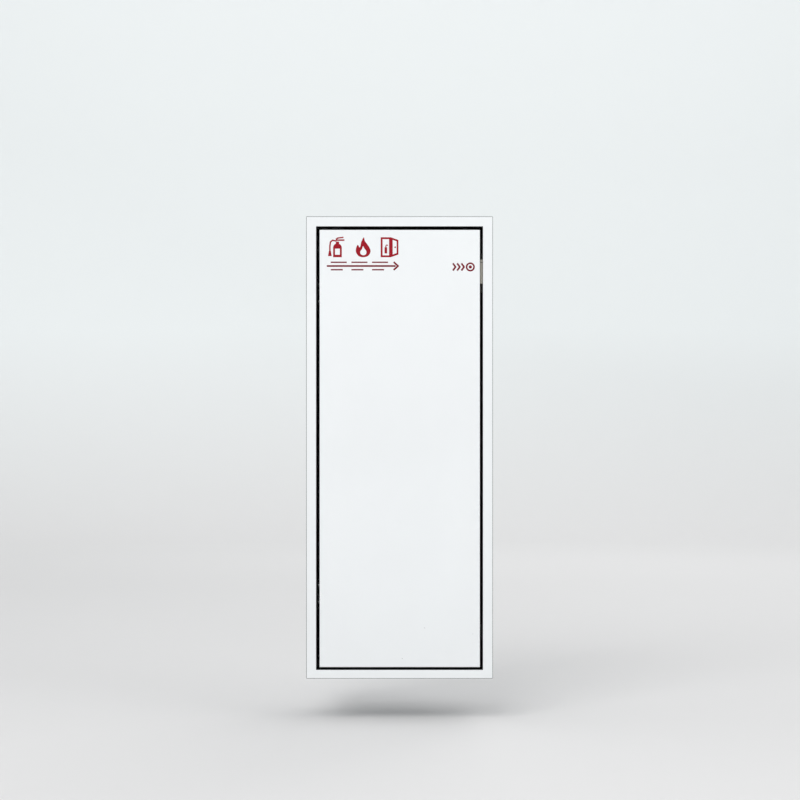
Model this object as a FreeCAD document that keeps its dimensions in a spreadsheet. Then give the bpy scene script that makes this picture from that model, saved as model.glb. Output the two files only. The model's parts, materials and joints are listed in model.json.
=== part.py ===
import FreeCAD, Part
import os
import Sketcher

# A recessed wall cabinet with a flush push-to-open door, and the dry-powder fire extinguisher that it holds.
# Millimetres. +Z is up and the front faces -Y. The wall's surface is the plane y = 0, x = 0 is the middle of
# the frame, and z = 0 is the frame's bottom edge.

SIZES = {
    # front frame: a flat flange against the wall and a return that lines the hole
    "frame_width": 280,
    "frame_height": 694,
    "frame_side": 14.6,
    "frame_top": 14.6,
    "frame_bottom": 12.6,
    "frame_sheet": 1.6,
    "frame_fold": 0.8,
    "return_depth": 28.4,
    # box inside the wall
    "box_sheet": 1.2,
    "box_depth": 200,
    "box_set_back": 4,
    "tray_flange": 12,
    "fixing_radius": 2.75,
    "fixing_near": 60,
    "fixing_far": 150,
    "fixing_low": 160,
    "fixing_high": 540,
    # door: a folded steel pan with rear lips and a glued stiffener
    "door_gap_left": 5.2,
    "door_gap_right": 4.6,
    "door_gap_top": 5.2,
    "door_gap_bottom": 4.2,
    "door_sheet": 1.6,
    "door_depth": 18,
    "door_fold": 1.0,
    "door_lip": 20,
    "stiffener_sheet": 1.2,
    "stiffener_depth": 12,
    "stiffener_half": 18,
    "stiffener_foot": 12,
    "stiffener_low": 60,
    "stiffener_high": 632,
    # hinges: a cranked arm on the box's side and a forked bracket on the door
    "pivot_inset": 12,
    "pivot_behind": 9,
    "hinge_low": 122.5,
    "hinge_high": 582.5,
    "arm_sheet": 3.2,
    "boss_radius": 6.5,
    "leg_left": 4.5,
    "leg_right": 8,
    "arm_front": 30,
    "arm_back": 46,
    "arm_foot_back": 60,
    "arm_foot_half": 20,
    "arm_screw_depth": 53,
    "arm_screw_half": 12,
    "pin_radius": 2.5,
    "pin_play": 0.08,
    "pin_head_radius": 4,
    "pin_head": 1.8,
    "pin_tail": 6.4,
    "pin_chamfer": 0.5,
    "ear_gap": 2.1,
    "ear_sheet": 2.5,
    "ear_long": 34,
    "ear_shoulder": 22,
    "bracket_start": 10,
    "bracket_half": 16,
    "notch_half": 4,
    "notch_long": 10.2,
    "washer_radius": 6,
    "washer_thick": 0.4,
    "stud_along": 24,
    "stud_half": 11,
    "stud_radius": 2,
    "stud_long": 9,
    "nut_radius": 4.04,
    "nut_thick": 3.2,
    # machine screws through the box's sides
    "screw_radius": 2,
    "screw_hole": 2.1,
    "screw_head_radius": 3.8,
    "screw_head": 2.4,
    "screw_tip": 1.5,
    # magnetic push latch
    "latch_centre": 611.5,
    "latch_half": 18,
    "latch_axis": 109,
    "latch_inner": 94,
    "latch_front": 22,
    "latch_back": 70,
    "cheek_inner": 121.4,
    "cheek_front": 1,
    "cheek_groove": 1.4,
    "cheek_groove_up": 13,
    "latch_wall": 3,
    "cavity_half": 12,
    "cap_thick": 2,
    "cap_boss": 4,
    "latch_ear_front": 30,
    "latch_ear_back": 66,
    "latch_ear_half": 30,
    "latch_ear": 4,
    "latch_screw_depth": 48,
    "latch_screw_half": 24,
    "plunger_half": 8,
    "plunger_play": 0.3,
    "plunger_front": 19,
    "plunger_collar": 40,
    "plunger_collar_back": 46,
    "plunger_tail": 60,
    "tail_radius": 5,
    "magnet_half_wide": 6,
    "magnet_half_high": 2.5,
    "magnet_set_back": 0.2,
    "magnet_back": 29,
    "pole_thick": 1.5,
    "pole_gap": 0.3,
    "track_half": 5,
    "track_front": 28.5,
    "track_stop": 35.8,
    "track_deep": 2,
    "island_half": 3,
    "follower_pivot": 62,
    "follower_tip": 34,
    "follower_half": 0.8,
    "follower_low": 9.2,
    "follower_radius": 1,
    "follower_play": 0.05,
    "follower_pin_up": 15.5,
    "notch_clear": 6,
    "latch_coil": 7,
    "latch_wire": 0.6,
    "latch_turns": 7,
    "strike_half_wide": 9,
    "strike_thick": 1.6,
    "strike_screw_half": 14,
    "strike_head_radius": 4,
    "strike_screw_long": 7,
    # door stops with rubber buffers
    "stop_low": 70,
    "stop_high": 655,
    "stop_half": 10,
    "stop_sheet": 1.6,
    "stop_front": 30,
    "stop_reach": 20,
    "stop_leg": 18,
    "buffer_radius": 6,
    "buffer_long": 10,
    "buffer_inset": 12,
    # extinguisher: placed by its axis, standing on the box's floor
    "bottle_x": -2,
    "bottle_y": 110,
    "bottle_radius": 78,
    "bottle_wall": 1.5,
    "boot_radius": 80,
    "boot_thick": 3,
    "boot_high": 24.4,
    "boot_chamfer": 2,
    "bottle_corner": 12,
    "shoulder": 358.6,
    "knuckle_radius": 36,
    "knee_radius": 60,
    "knee_rise": 31.18,
    "crown_radius": 90,
    "crown_rise": 43,
    "neck_radius": 22,
    "neck_top": 423.6,
    "powder_top": 290,
    "powder_play": 0.3,
    "tube_radius": 8,
    "tube_wall": 1.5,
    "tube_bottom": 30,
    # valve
    "gasket_thick": 2,
    "gasket_inner": 14.2,
    "gasket_inset": 0.2,
    "tail_bottom": 395,
    "tail_outer": 14,
    "tube_top": 404,
    "flange_radius": 20,
    "flange_thick": 5,
    "chamber_radius": 8.5,
    "column_radius": 13,
    "column_top": 457,
    "seat_height": 446.2,
    "seat_radius": 6,
    "stem_radius": 3,
    "stem_play": 0.06,
    "block_top": 474,
    "block_bottom": 458,
    "block_left": 12,
    "block_half": 9,
    "outlet_height": 451,
    "outlet_radius": 8,
    "outlet_start": 10,
    "outlet_end": 26,
    "outlet_bore": 4.5,
    "gauge_height": 440,
    "gauge_boss": 7,
    "gauge_boss_end": 19,
    "gauge_bore": 2.5,
    "cap_outer": 28,
    "cap_bottom": 408,
    "cap_lid": 2,
    "cap_play": 0.1,
    "cap_grips": 12,
    "cap_grip_radius": 2.5,
    "disc_radius": 7.2,
    "disc_bottom": 440,
    "disc_top": 444,
    "seal_radius": 7.5,
    "seal_thick": 1.9,
    "stem_top": 488.9,
    "stem_tip": 1,
    "valve_coil": 6.4,
    "valve_wire": 0.6,
    "valve_turns": 6,
    # handle and lever
    "lever_pivot_along": 16,
    "lever_pivot_height": 480,
    "pivot_boss": 5.5,
    "cheek_sheet": 2,
    "rivet_along": 8,
    "rivet_height": 466,
    "rivet_head": 1,
    "handle_end": 104,
    "handle_low": 451,
    "handle_clear": 0.5,
    "handle_belly": 62.4,
    "handle_shoulder": 31.2,
    "handle_shoulder_high": 19,
    "handle_root_high": 4,
    "handle_tip_long": 8,
    "handle_tip_low": 2.5,
    "handle_tip_bend": 7,
    "handle_tip_wall": 11,
    "handle_tip_high": 17,
    "handle_tip_corner": 6,
    "handle_block_lap": 1,
    "handle_cheek_slope": 3,
    "handle_cheek_lap": 2,
    "lever_sheet": 2,
    "lever_play": 0.3,
    "lever_tilt": 11.6,
    "lever_boss": 6.5,
    "lever_top": 8,
    "lever_end": 124,
    "lever_crop": 3,
    "lever_tip_long": 8,
    "lever_tip_bend": 6,
    "lever_tip_edge": 2,
    "lever_belly": 31,
    "lever_skirt": 5,
    "lever_pin_play": 0.06,
    "lever_pin_head": 1.6,
    "slot_start": 39.2,
    "slot_end": 47.1,
    "slot_half": 2.4,
    # safety pin
    "pull_along": 26,
    "prong_radius": 2,
    "prong_bottom": 466,
    "pull_head_bottom": 500,
    "pull_head_radius": 5.5,
    "pull_head_thick": 5,
    "ring_radius": 15,
    "ring_wire": 2.6,
    # pressure gauge, measured back from the extinguisher's axis towards -Y
    "case_back": 30,
    "case_radius": 17,
    "case_wall": 1.2,
    "nipple_radius": 6,
    "nipple_bore": 1.5,
    "tube_loop": 9,
    "tube_loop_wire": 1.3,
    "tube_loop_depth": 35,
    "dial_front": 39,
    "dial_thick": 0.6,
    "dial_play": 0.06,
    "needle_back": 40,
    "needle_thick": 0.6,
    "needle_hub": 2.2,
    "needle_long": 12,
    "needle_tail": 4,
    "needle_shaft": 1,
    "needle_shaft_end": 36.8,
    "lens_back": 41.6,
    "lens_thick": 1,
    "bezel_radius": 18.2,
    "bezel_lip": 1,
    "bezel_back": 39.5,
    "bezel_window": 14.6,
    # hose and nozzle
    "fitting_hex": 10,
    "fitting_hex_end": 36,
    "fitting_bore": 3.5,
    "fitting_plug_start": 14,
    "hose_start": 38,
    "hose_bend_start": 46,
    "hose_axis": 93,
    "hose_radius": 8.5,
    "hose_bore": 5.5,
    "hose_overrun": 8,
    "hose_bottom": 200,
    "ferrule_radius": 10,
    "nozzle_top": 216,
    "nozzle_grip": 10.8,
    "nozzle_waist": 9.2,
    "nozzle_mouth": 13,
    "nozzle_bottom": 96,
    "nozzle_bore": 4,
    "nozzle_taper": 80,
    "nozzle_step": 6,
    "nozzle_wall": 5,
    "nozzle_lip": 2,
    "nozzle_lip_high": 8,
    "nozzle_lip_step": 1.2,
    "nozzle_lip_end": 12,
    "nozzle_flare": 10,
    "nozzle_gap": 2,
    "band_low": 132,
    "band_high": 148,
    "band_thick": 1.2,
    "clip_inner": 11.1,
    "clip_outer": 13,
    "clip_inset": 2,
    "clip_mouth": 8,
}

NORMAL = {"XY_Plane": 1, "XZ_Plane": -1, "YZ_Plane": 1}
ALONG_X = FreeCAD.Rotation(FreeCAD.Vector(0, 1, 0), 90)
ALONG_Y = FreeCAD.Rotation(FreeCAD.Vector(1, 0, 0), -90)
UPRIGHT = FreeCAD.Rotation()


class Size:
    """A length: its value now, and the spreadsheet formula that keeps it up to date."""

    def __init__(self, value, formula):
        self.value = value
        self.formula = formula

    def joined(self, other, sign, value):
        return Size(value, f"({self.formula} {sign} {formula_of(other)})")

    def __add__(self, other):
        return self.joined(other, "+", self.value + value_of(other))

    def __radd__(self, other):
        return self + other

    def __sub__(self, other):
        return self.joined(other, "-", self.value - value_of(other))

    def __rsub__(self, other):
        return -self + other

    def __mul__(self, other):
        return self.joined(other, "*", self.value * value_of(other))

    def __rmul__(self, other):
        return self * other

    def __truediv__(self, other):
        return self.joined(other, "/", self.value / value_of(other))

    def __neg__(self):
        return Size(-self.value, f"(0 - {self.formula})")


def value_of(length):
    return length.value if isinstance(length, Size) else length


def formula_of(length):
    return length.formula if isinstance(length, Size) else repr(length)


class Sheet:
    """The spreadsheet of driving dimensions: each one is an attribute that holds a Size."""

    def __init__(self, document, sizes):
        cells = document.addObject("Spreadsheet::Sheet", "Dims")
        for row, (name, number) in enumerate(sizes.items(), start=1):
            cells.set(f"A{row}", name)
            cells.set(f"B{row}", str(number))
            cells.setAlias(f"B{row}", name)
            setattr(self, name, Size(number, f"Dims.{name}"))
        document.recompute()


doc = FreeCAD.newDocument("CabinetExtinguisher")
d = Sheet(doc, SIZES)
subparts = []

# Lines that several sub-parts share.
hole_half = d.frame_width / 2 - d.frame_side
hole_low = d.frame_bottom
hole_high = d.frame_height - d.frame_top
lining_half = hole_half + d.frame_sheet
lining_low = hole_low - d.frame_sheet
lining_high = hole_high + d.frame_sheet
back_inner = d.box_depth - d.box_sheet
floor_top = lining_low + d.box_sheet
door_left = d.door_gap_left - hole_half
door_right = hole_half - d.door_gap_right
door_low = hole_low + d.door_gap_bottom
door_high = hole_high - d.door_gap_top
door_inner = d.door_sheet - d.frame_sheet
door_back = d.door_depth - d.frame_sheet
lip_front = door_back - d.door_sheet
pivot_x = door_left + d.pivot_inset
pivot_y = d.pivot_behind - d.frame_sheet
latch_low = d.latch_centre - d.latch_half
latch_high = d.latch_centre + d.latch_half
strike_back = door_back + d.strike_thick
flange_bottom = d.neck_top + d.gasket_thick
flange_top = flange_bottom + d.flange_thick
cap_top = flange_top + d.cap_lid
boot_top = floor_top + d.boot_high
bottle_bottom = floor_top + d.boot_thick
handle_half = d.block_half + d.cheek_sheet
lever_inner = handle_half + d.lever_play
lever_half = lever_inner + d.lever_sheet
hose_bend = d.hose_axis - d.hose_bend_start
hose_bend_low = d.outlet_height - hose_bend


def keep(item, label):
    """Name a finished sub-part and list it for export."""
    item.Label = label
    subparts.append(item)
    return item


def bind_place(item, x=0, y=0, z=0, turn=UPRIGHT):
    """Place an item, each coordinate bound to the spreadsheet."""
    item.Placement = FreeCAD.Placement(FreeCAD.Vector(), turn)
    for axis, length in (("x", x), ("y", y), ("z", z)):
        item.setExpression(f"Placement.Base.{axis}", formula_of(length))
    return item


def new_body(label, x=0, y=0, z=0, turn=UPRIGHT):
    body = doc.addObject("PartDesign::Body", label)
    return keep(bind_place(body, x, y, z, turn), label)


def new_sketch(body, role, at=0):
    """A sketch on one of the body's own origin planes, moved to the coordinate at on that plane's axis."""
    sketch = body.newObject("Sketcher::SketchObject", "Sketch")
    plane = [item for item in body.Origin.OriginFeatures if item.Role == role][0]
    sketch.AttachmentSupport = [(plane, "")]
    sketch.MapMode = "FlatFace"
    sketch.setExpression("AttachmentOffset.Base.z", f"{NORMAL[role]} * {formula_of(at)}")
    return sketch


def bind_constraint(sketch, kind, geometry, length):
    """Add a driving constraint bound to the spreadsheet."""
    index = sketch.addConstraint(Sketcher.Constraint(kind, *geometry, value_of(length)))
    name = f"c{index}"
    sketch.renameConstraint(index, name)
    sketch.setExpression(f"Constraints.{name}", formula_of(length))


def arc_between(start, end, radius):
    """The shorter arc between two points: it turns left where the radius is positive."""
    half = (end - start) * 0.5
    size = abs(radius)
    rise = max(size**2 - half.Length**2, 0) ** 0.5
    side = FreeCAD.Vector(-half.y, half.x, 0).normalize() * (rise if radius > 0 else -rise)
    centre = start + half + side
    first, last = (start, end) if radius > 0 else (end, start)
    turn = FreeCAD.Vector(0, 0, 1)
    east = FreeCAD.Vector(1, 0, 0)
    angles = []
    for point in (first, last):
        arm = point - centre
        angle = east.getAngle(arm)
        angles.append(angle if arm.y >= 0 else -angle)
    return Part.ArcOfCircle(Part.Circle(centre, turn, size), angles[0], angles[1])


def draw_outline(sketch, points):
    """Draw a closed outline. A point is (x, y), or (x, y, radius) where an arc leads to the next point."""
    first = sketch.GeometryCount
    ends = []
    for number, point in enumerate(points):
        following = points[(number + 1) % len(points)]
        start = FreeCAD.Vector(value_of(point[0]), value_of(point[1]), 0)
        end = FreeCAD.Vector(value_of(following[0]), value_of(following[1]), 0)
        if len(point) == 2:
            sketch.addGeometry(Part.LineSegment(start, end))
            ends.append((1, 2))
        else:
            sketch.addGeometry(arc_between(start, end, value_of(point[2])))
            ends.append((1, 2) if value_of(point[2]) > 0 else (2, 1))
    for number in range(len(points)):
        after = (number + 1) % len(points)
        sketch.addConstraint(
            Sketcher.Constraint("Coincident", first + number, ends[number][1], first + after, ends[after][0])
        )
    for number, point in enumerate(points):
        corner = (-1, 1, first + number, ends[number][0])
        bind_constraint(sketch, "DistanceX", corner, point[0])
        bind_constraint(sketch, "DistanceY", corner, point[1])
        if len(point) == 3:
            radius = point[2] if value_of(point[2]) > 0 else -point[2]
            bind_constraint(sketch, "Radius", (first + number,), radius)
    return sketch


def draw_box(sketch, left, low, right, high):
    return draw_outline(sketch, [(left, low), (right, low), (right, high), (left, high)])


def draw_circle(sketch, x, y, radius):
    number = sketch.GeometryCount
    centre = FreeCAD.Vector(value_of(x), value_of(y), 0)
    sketch.addGeometry(Part.Circle(centre, FreeCAD.Vector(0, 0, 1), value_of(radius)))
    bind_constraint(sketch, "DistanceX", (-1, 1, number, 3), x)
    bind_constraint(sketch, "DistanceY", (-1, 1, number, 3), y)
    bind_constraint(sketch, "Radius", (number,), radius)
    return sketch


def extrude(body, kind, sketch, length, way):
    role = sketch.AttachmentSupport[0][0].Role
    feature = body.newObject(kind, "Feature")
    feature.Profile = sketch
    feature.setExpression("Length", formula_of(length))
    natural = NORMAL[role] if kind == "PartDesign::Pad" else -NORMAL[role]
    feature.Reversed = natural != way
    sketch.Visibility = False
    return feature


def add_pad(body, sketch, length, way=1):
    """Grow material from the sketch along the positive (1) or negative (-1) axis."""
    return extrude(body, "PartDesign::Pad", sketch, length, way)


def cut_pocket(body, sketch, length, way=1):
    """Cut from the sketch along the positive or negative axis, and stop if nothing is removed."""
    doc.recompute()
    before = body.Shape.Volume
    pocket = extrude(body, "PartDesign::Pocket", sketch, length, way)
    doc.recompute()
    if body.Shape.Volume >= before - 1e-6:
        raise RuntimeError(f"a pocket in {body.Label} removes nothing")
    return pocket


def round_folds(body, radius):
    """Round the edges of the frame's hole, or of the door that fills it, in the plane of the front."""
    doc.recompute()
    near = 0.001
    folds = []
    for number, edge in enumerate(body.Shape.Edges, start=1):
        in_front = all(abs(end.Y + d.frame_sheet.value) < near for end in edge.Vertexes)
        inside = all(abs(end.X) < hole_half.value + near for end in edge.Vertexes)
        if in_front and inside:
            folds.append(f"Edge{number}")
    base = body.Tip
    fillet = body.newObject("PartDesign::Fillet", "Folds")
    fillet.Base = (base, folds)
    fillet.setExpression("Radius", formula_of(radius))


def revolve(body, role, points, axis):
    sketch = draw_outline(new_sketch(body, role), points)
    feature = body.newObject("PartDesign::Revolution", "Revolution")
    feature.Profile = sketch
    feature.ReferenceAxis = (sketch, [axis])
    feature.Angle = 360
    sketch.Visibility = False
    return feature


def turned(label, points, x=0, y=0, z=0, turn=UPRIGHT):
    """A body turned about its own upright axis from an outline of (radius, height) points."""
    body = new_body(label, x, y, z, turn)
    revolve(body, "XZ_Plane", points, "V_Axis")
    return body


def ring_points(inner, outer, low, high):
    return [(inner, low), (outer, low), (outer, high), (inner, high)]


def solid_block(x, y, z):
    """A block between two coordinates on each axis, each given as (low, high)."""
    block = doc.addObject("Part::Box", "Block")
    for name, span in (("Length", x), ("Width", y), ("Height", z)):
        block.setExpression(name, formula_of(span[1] - span[0]))
    return bind_place(block, x[0], y[0], z[0])


def solid_cylinder(radius, length, x, y, z, turn=UPRIGHT):
    cylinder = doc.addObject("Part::Cylinder", "Cylinder")
    cylinder.setExpression("Radius", formula_of(radius))
    cylinder.setExpression("Height", formula_of(length))
    return bind_place(cylinder, x, y, z, turn)


def solid_cone(radius, tip_radius, length, x, y, z, turn):
    cone = doc.addObject("Part::Cone", "Cone")
    cone.setExpression("Radius1", formula_of(radius))
    cone.setExpression("Radius2", formula_of(tip_radius))
    cone.setExpression("Height", formula_of(length))
    return bind_place(cone, x, y, z, turn)


def solid_hex(radius, length, x, y, z, turn):
    prism = doc.addObject("Part::Prism", "Hexagon")
    prism.Polygon = 6
    prism.setExpression("Circumradius", formula_of(radius))
    prism.setExpression("Height", formula_of(length))
    return bind_place(prism, x, y, z, turn)


def solid_torus(radius, wire, x, y, z, turn=UPRIGHT, sweep=360):
    torus = doc.addObject("Part::Torus", "Torus")
    torus.setExpression("Radius1", formula_of(radius))
    torus.setExpression("Radius2", formula_of(wire))
    torus.Angle3 = sweep
    return bind_place(torus, x, y, z, turn)


def solid_coil(radius, wire, low, high, turns, x, y, turn=UPRIGHT, z=0):
    """A compression spring between two heights of its own axis."""
    span = high - low - wire * 2
    helix = doc.addObject("Part::Helix", "Helix")
    helix.setExpression("Pitch", formula_of(span / turns))
    helix.setExpression("Height", formula_of(span))
    helix.setExpression("Radius", formula_of(radius))
    section = doc.addObject("Part::Circle", "Section")
    section.setExpression("Radius", formula_of(wire))
    section.Placement = FreeCAD.Placement(FreeCAD.Vector(value_of(radius), 0, 0), ALONG_Y)
    section.setExpression("Placement.Base.x", formula_of(radius))
    sweep = doc.addObject("Part::Sweep", "Coil")
    sweep.Sections = [section]
    sweep.Spine = (helix, ["Edge1"])
    sweep.Solid = True
    sweep.Frenet = True
    along = turn.multVec(FreeCAD.Vector(0, 0, 1))
    start = low + wire
    return bind_place(sweep, x + start * along.x, y + start * along.y, z + start * along.z, turn)


def fuse(solids):
    joined = doc.addObject("Part::MultiFuse", "Joined")
    joined.Shapes = solids
    return joined


def cut(base, tool):
    result = doc.addObject("Part::Cut", "Cut")
    result.Base = base
    result.Tool = tool
    return result


def group(solids, label):
    """Separate solids that share one node."""
    together = doc.addObject("Part::Compound", label)
    together.Links = solids
    return keep(together, label)


# ---- cabinet ----


def make_front_frame():
    body = new_body("front_frame")
    flange = new_sketch(body, "XZ_Plane", -d.frame_sheet)
    draw_box(flange, -d.frame_width / 2, 0, d.frame_width / 2, d.frame_height)
    draw_box(flange, -hole_half, hole_low, hole_half, hole_high)
    add_pad(body, flange, d.frame_sheet)
    lining = new_sketch(body, "XZ_Plane")
    draw_box(lining, -lining_half, lining_low, lining_half, lining_high)
    draw_box(lining, -hole_half, hole_low, hole_half, hole_high)
    add_pad(body, lining, d.return_depth)
    round_folds(body, d.frame_fold)


def make_box_wrap():
    """The box's two sides and back, folded from one sheet, with its screw and fixing holes."""
    body = new_body("box_wrap")
    outer_half = lining_half + d.box_sheet
    plan = new_sketch(body, "XY_Plane", lining_low)
    draw_outline(
        plan,
        [
            (-outer_half, d.box_set_back),
            (-lining_half, d.box_set_back),
            (-lining_half, back_inner),
            (lining_half, back_inner),
            (lining_half, d.box_set_back),
            (outer_half, d.box_set_back),
            (outer_half, d.box_depth),
            (-outer_half, d.box_depth),
        ],
    )
    add_pad(body, plan, lining_high - lining_low)
    arm_screws = [
        (d.arm_screw_depth, hinge + side * d.arm_screw_half, d.screw_hole)
        for hinge in (d.hinge_low, d.hinge_high)
        for side in (-1, 1)
    ]
    latch_screws = [
        (d.latch_screw_depth, d.latch_centre + side * d.latch_screw_half, d.screw_hole) for side in (-1, 1)
    ]
    fixings = [
        (depth, height, d.fixing_radius)
        for depth in (d.fixing_near, d.fixing_far)
        for height in (d.fixing_low, d.fixing_high)
    ]
    for side, screws in ((-1, arm_screws), (1, latch_screws)):
        holes = new_sketch(body, "YZ_Plane", side * lining_half)
        for depth, height, radius in screws + fixings:
            draw_circle(holes, depth, height, radius)
        cut_pocket(body, holes, d.box_sheet, side)


def make_tray(label, plate_low, way):
    """A floor (way 1) or top (way -1): a plate with spot-weld flanges on three sides."""
    body = new_body(label)
    tall = d.box_sheet + d.tray_flange
    bottom = plate_low if way > 0 else plate_low - d.tray_flange
    block = new_sketch(body, "XY_Plane", bottom)
    draw_box(block, -lining_half, d.return_depth, lining_half, back_inner)
    add_pad(body, block, tall)
    mouth = new_sketch(body, "XY_Plane", bottom + tall if way > 0 else bottom)
    inner = lining_half - d.box_sheet
    draw_box(mouth, -inner, d.return_depth - d.box_sheet, inner, back_inner - d.box_sheet)
    cut_pocket(body, mouth, d.tray_flange, -way)


def make_hinge_arm(label, height):
    body = new_body(label)
    under = height - d.arm_sheet / 2
    boss = draw_circle(new_sketch(body, "XY_Plane", under), pivot_x, pivot_y, d.boss_radius)
    add_pad(body, boss, d.arm_sheet)
    leg = new_sketch(body, "XY_Plane", under)
    draw_outline(
        leg,
        [
            (pivot_x - d.leg_left, pivot_y),
            (pivot_x + d.leg_right, pivot_y + d.leg_right / 2),
            (pivot_x + d.leg_right, d.arm_back),
            (-lining_half, d.arm_back),
            (-lining_half, d.arm_front),
            (pivot_x - d.leg_left, d.arm_front),
        ],
    )
    add_pad(body, leg, d.arm_sheet)
    foot = new_sketch(body, "YZ_Plane", -lining_half)
    draw_box(foot, d.arm_front, height - d.arm_foot_half, d.arm_foot_back, height + d.arm_foot_half)
    add_pad(body, foot, d.arm_sheet)
    bore = new_sketch(body, "XY_Plane", under)
    draw_circle(bore, pivot_x, pivot_y, d.pin_radius + d.pin_play)
    cut_pocket(body, bore, d.arm_sheet)
    holes = new_sketch(body, "YZ_Plane", -lining_half)
    for side in (-1, 1):
        draw_circle(holes, d.arm_screw_depth, height + side * d.arm_screw_half, d.screw_hole)
    cut_pocket(body, holes, d.arm_sheet)


def side_screw(side, under_head, depth, height):
    """A pan-head screw pushed outwards through one side of the box."""
    turn = ALONG_X if side > 0 else ALONG_X.inverted()
    tip = lining_half + d.box_sheet + d.nut_thick + d.screw_tip
    shank = solid_cylinder(d.screw_radius, tip - under_head, side * under_head, depth, height, turn)
    head_start = side * (under_head - d.screw_head)
    head = solid_cylinder(d.screw_head_radius, d.screw_head, head_start, depth, height, turn)
    return fuse([shank, head])


def weld_nut(side, depth, height):
    turn = ALONG_X if side > 0 else ALONG_X.inverted()
    face = side * (lining_half + d.box_sheet)
    nut = solid_hex(d.nut_radius, d.nut_thick, face, depth, height, turn)
    return cut(nut, solid_cylinder(d.screw_radius, d.nut_thick, face, depth, height, turn))


def make_side_fasteners():
    hinge_places = [
        (d.arm_screw_depth, hinge + side * d.arm_screw_half)
        for hinge in (d.hinge_low, d.hinge_high)
        for side in (-1, 1)
    ]
    latch_places = [(d.latch_screw_depth, d.latch_centre + side * d.latch_screw_half) for side in (-1, 1)]
    arm_face = lining_half - d.arm_sheet
    latch_face = lining_half - d.latch_ear
    group([side_screw(-1, arm_face, *place) for place in hinge_places], "hinge_screws")
    group([side_screw(1, latch_face, *place) for place in latch_places], "latch_screws")
    nuts = [weld_nut(-1, *place) for place in hinge_places] + [weld_nut(1, *place) for place in latch_places]
    group(nuts, "weld_nuts")


def make_door_stops():
    brackets = []
    buffers = []
    corner_x = lining_half - d.stop_sheet
    back = d.stop_front + d.stop_sheet
    for height in (d.stop_low, d.stop_high):
        tall = (height - d.stop_half, height + d.stop_half)
        front = solid_block((lining_half - d.stop_reach, lining_half), (d.stop_front, back), tall)
        leg = solid_block((corner_x, lining_half), (back, d.stop_front + d.stop_leg), tall)
        brackets.append(fuse([front, leg]))
        x = lining_half - d.buffer_inset
        buffers.append(
            solid_cylinder(d.buffer_radius, d.buffer_long, x, d.stop_front - d.buffer_long, height, ALONG_Y)
        )
    group(brackets, "stop_brackets")
    group(buffers, "door_buffers")


# ---- door ----


def make_door_panel():
    """The folded pan: front skin, four side walls, four rear lips, notched where the hinge arms pass."""
    body = new_body("door_panel")
    skin = new_sketch(body, "XZ_Plane", -d.frame_sheet)
    draw_box(skin, door_left, door_low, door_right, door_high)
    add_pad(body, skin, d.door_sheet)
    for start, depth, inset in (
        (door_inner, lip_front - door_inner, d.door_sheet),
        (lip_front, d.door_sheet, d.door_lip),
    ):
        band = new_sketch(body, "XZ_Plane", start)
        draw_box(band, door_left, door_low, door_right, door_high)
        draw_box(band, door_left + inset, door_low + inset, door_right - inset, door_high - inset)
        add_pad(body, band, depth)
    for hinge in (d.hinge_low, d.hinge_high):
        notch = new_sketch(body, "XZ_Plane", door_back)
        low = hinge - d.notch_half
        draw_box(notch, door_left - d.door_sheet, low, pivot_x + d.notch_long, hinge + d.notch_half)
        cut_pocket(body, notch, door_back - door_inner, -1)
    holes = new_sketch(body, "XZ_Plane", door_back)
    for side in (-1, 1):
        draw_circle(holes, d.latch_axis + 1, d.latch_centre + side * d.strike_screw_half, d.screw_radius)
    cut_pocket(body, holes, d.door_sheet, -1)
    round_folds(body, d.door_fold)


def make_door_stiffener():
    """A top-hat channel glued upright to the back of the skin."""
    body = new_body("door_stiffener")
    sheet = d.stiffener_sheet
    outer = d.stiffener_half
    inner = outer - sheet
    foot = outer + d.stiffener_foot
    crown = door_inner + d.stiffener_depth
    right = [
        (inner, crown - sheet),
        (inner, door_inner),
        (foot, door_inner),
        (foot, door_inner + sheet),
        (outer, door_inner + sheet),
        (outer, crown),
    ]
    left = [(-x, y) for x, y in reversed(right)]
    plan = draw_outline(new_sketch(body, "XY_Plane", d.stiffener_low), right + left)
    add_pad(body, plan, d.stiffener_high - d.stiffener_low)


def make_hinge_bracket(label, height):
    """The door's half of a hinge: a base plate and two ears that straddle the arm."""
    body = new_body(label)
    start = pivot_x + d.bracket_start
    end = pivot_x + d.ear_long
    base = new_sketch(body, "XZ_Plane", door_inner)
    draw_box(base, start, height - d.bracket_half, end, height + d.bracket_half)
    add_pad(body, base, d.ear_sheet)
    nose = d.boss_radius
    for low in (height + d.ear_gap, height - d.ear_gap - d.ear_sheet):
        ear = new_sketch(body, "XY_Plane", low)
        draw_outline(
            ear,
            [
                (pivot_x, pivot_y - nose, -nose),
                (pivot_x - nose, pivot_y, -nose),
                (pivot_x, pivot_y + nose),
                (pivot_x + d.ear_shoulder, pivot_y + nose),
                (end, door_inner + d.ear_sheet),
                (end, door_inner),
                (pivot_x, door_inner),
            ],
        )
        add_pad(body, ear, d.ear_sheet)
        bore = draw_circle(new_sketch(body, "XY_Plane", low), pivot_x, pivot_y, d.pin_radius)
        cut_pocket(body, bore, d.ear_sheet)
    holes = new_sketch(body, "XZ_Plane", door_inner)
    for side in (-1, 1):
        draw_circle(holes, pivot_x + d.stud_along, height + side * d.stud_half, d.stud_radius)
    cut_pocket(body, holes, d.ear_sheet)


def make_hinge_pin(label, height):
    top = d.ear_gap + d.ear_sheet
    turned(
        label,
        [
            (0, -d.pin_tail),
            (d.pin_radius - d.pin_chamfer, -d.pin_tail),
            (d.pin_radius, d.pin_chamfer - d.pin_tail),
            (d.pin_radius, top),
            (d.pin_head_radius, top),
            (d.pin_head_radius, top + d.pin_head - d.pin_chamfer),
            (d.pin_head_radius - d.pin_chamfer, top + d.pin_head),
            (0, top + d.pin_head),
        ],
        pivot_x,
        pivot_y,
        height,
    )


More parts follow.
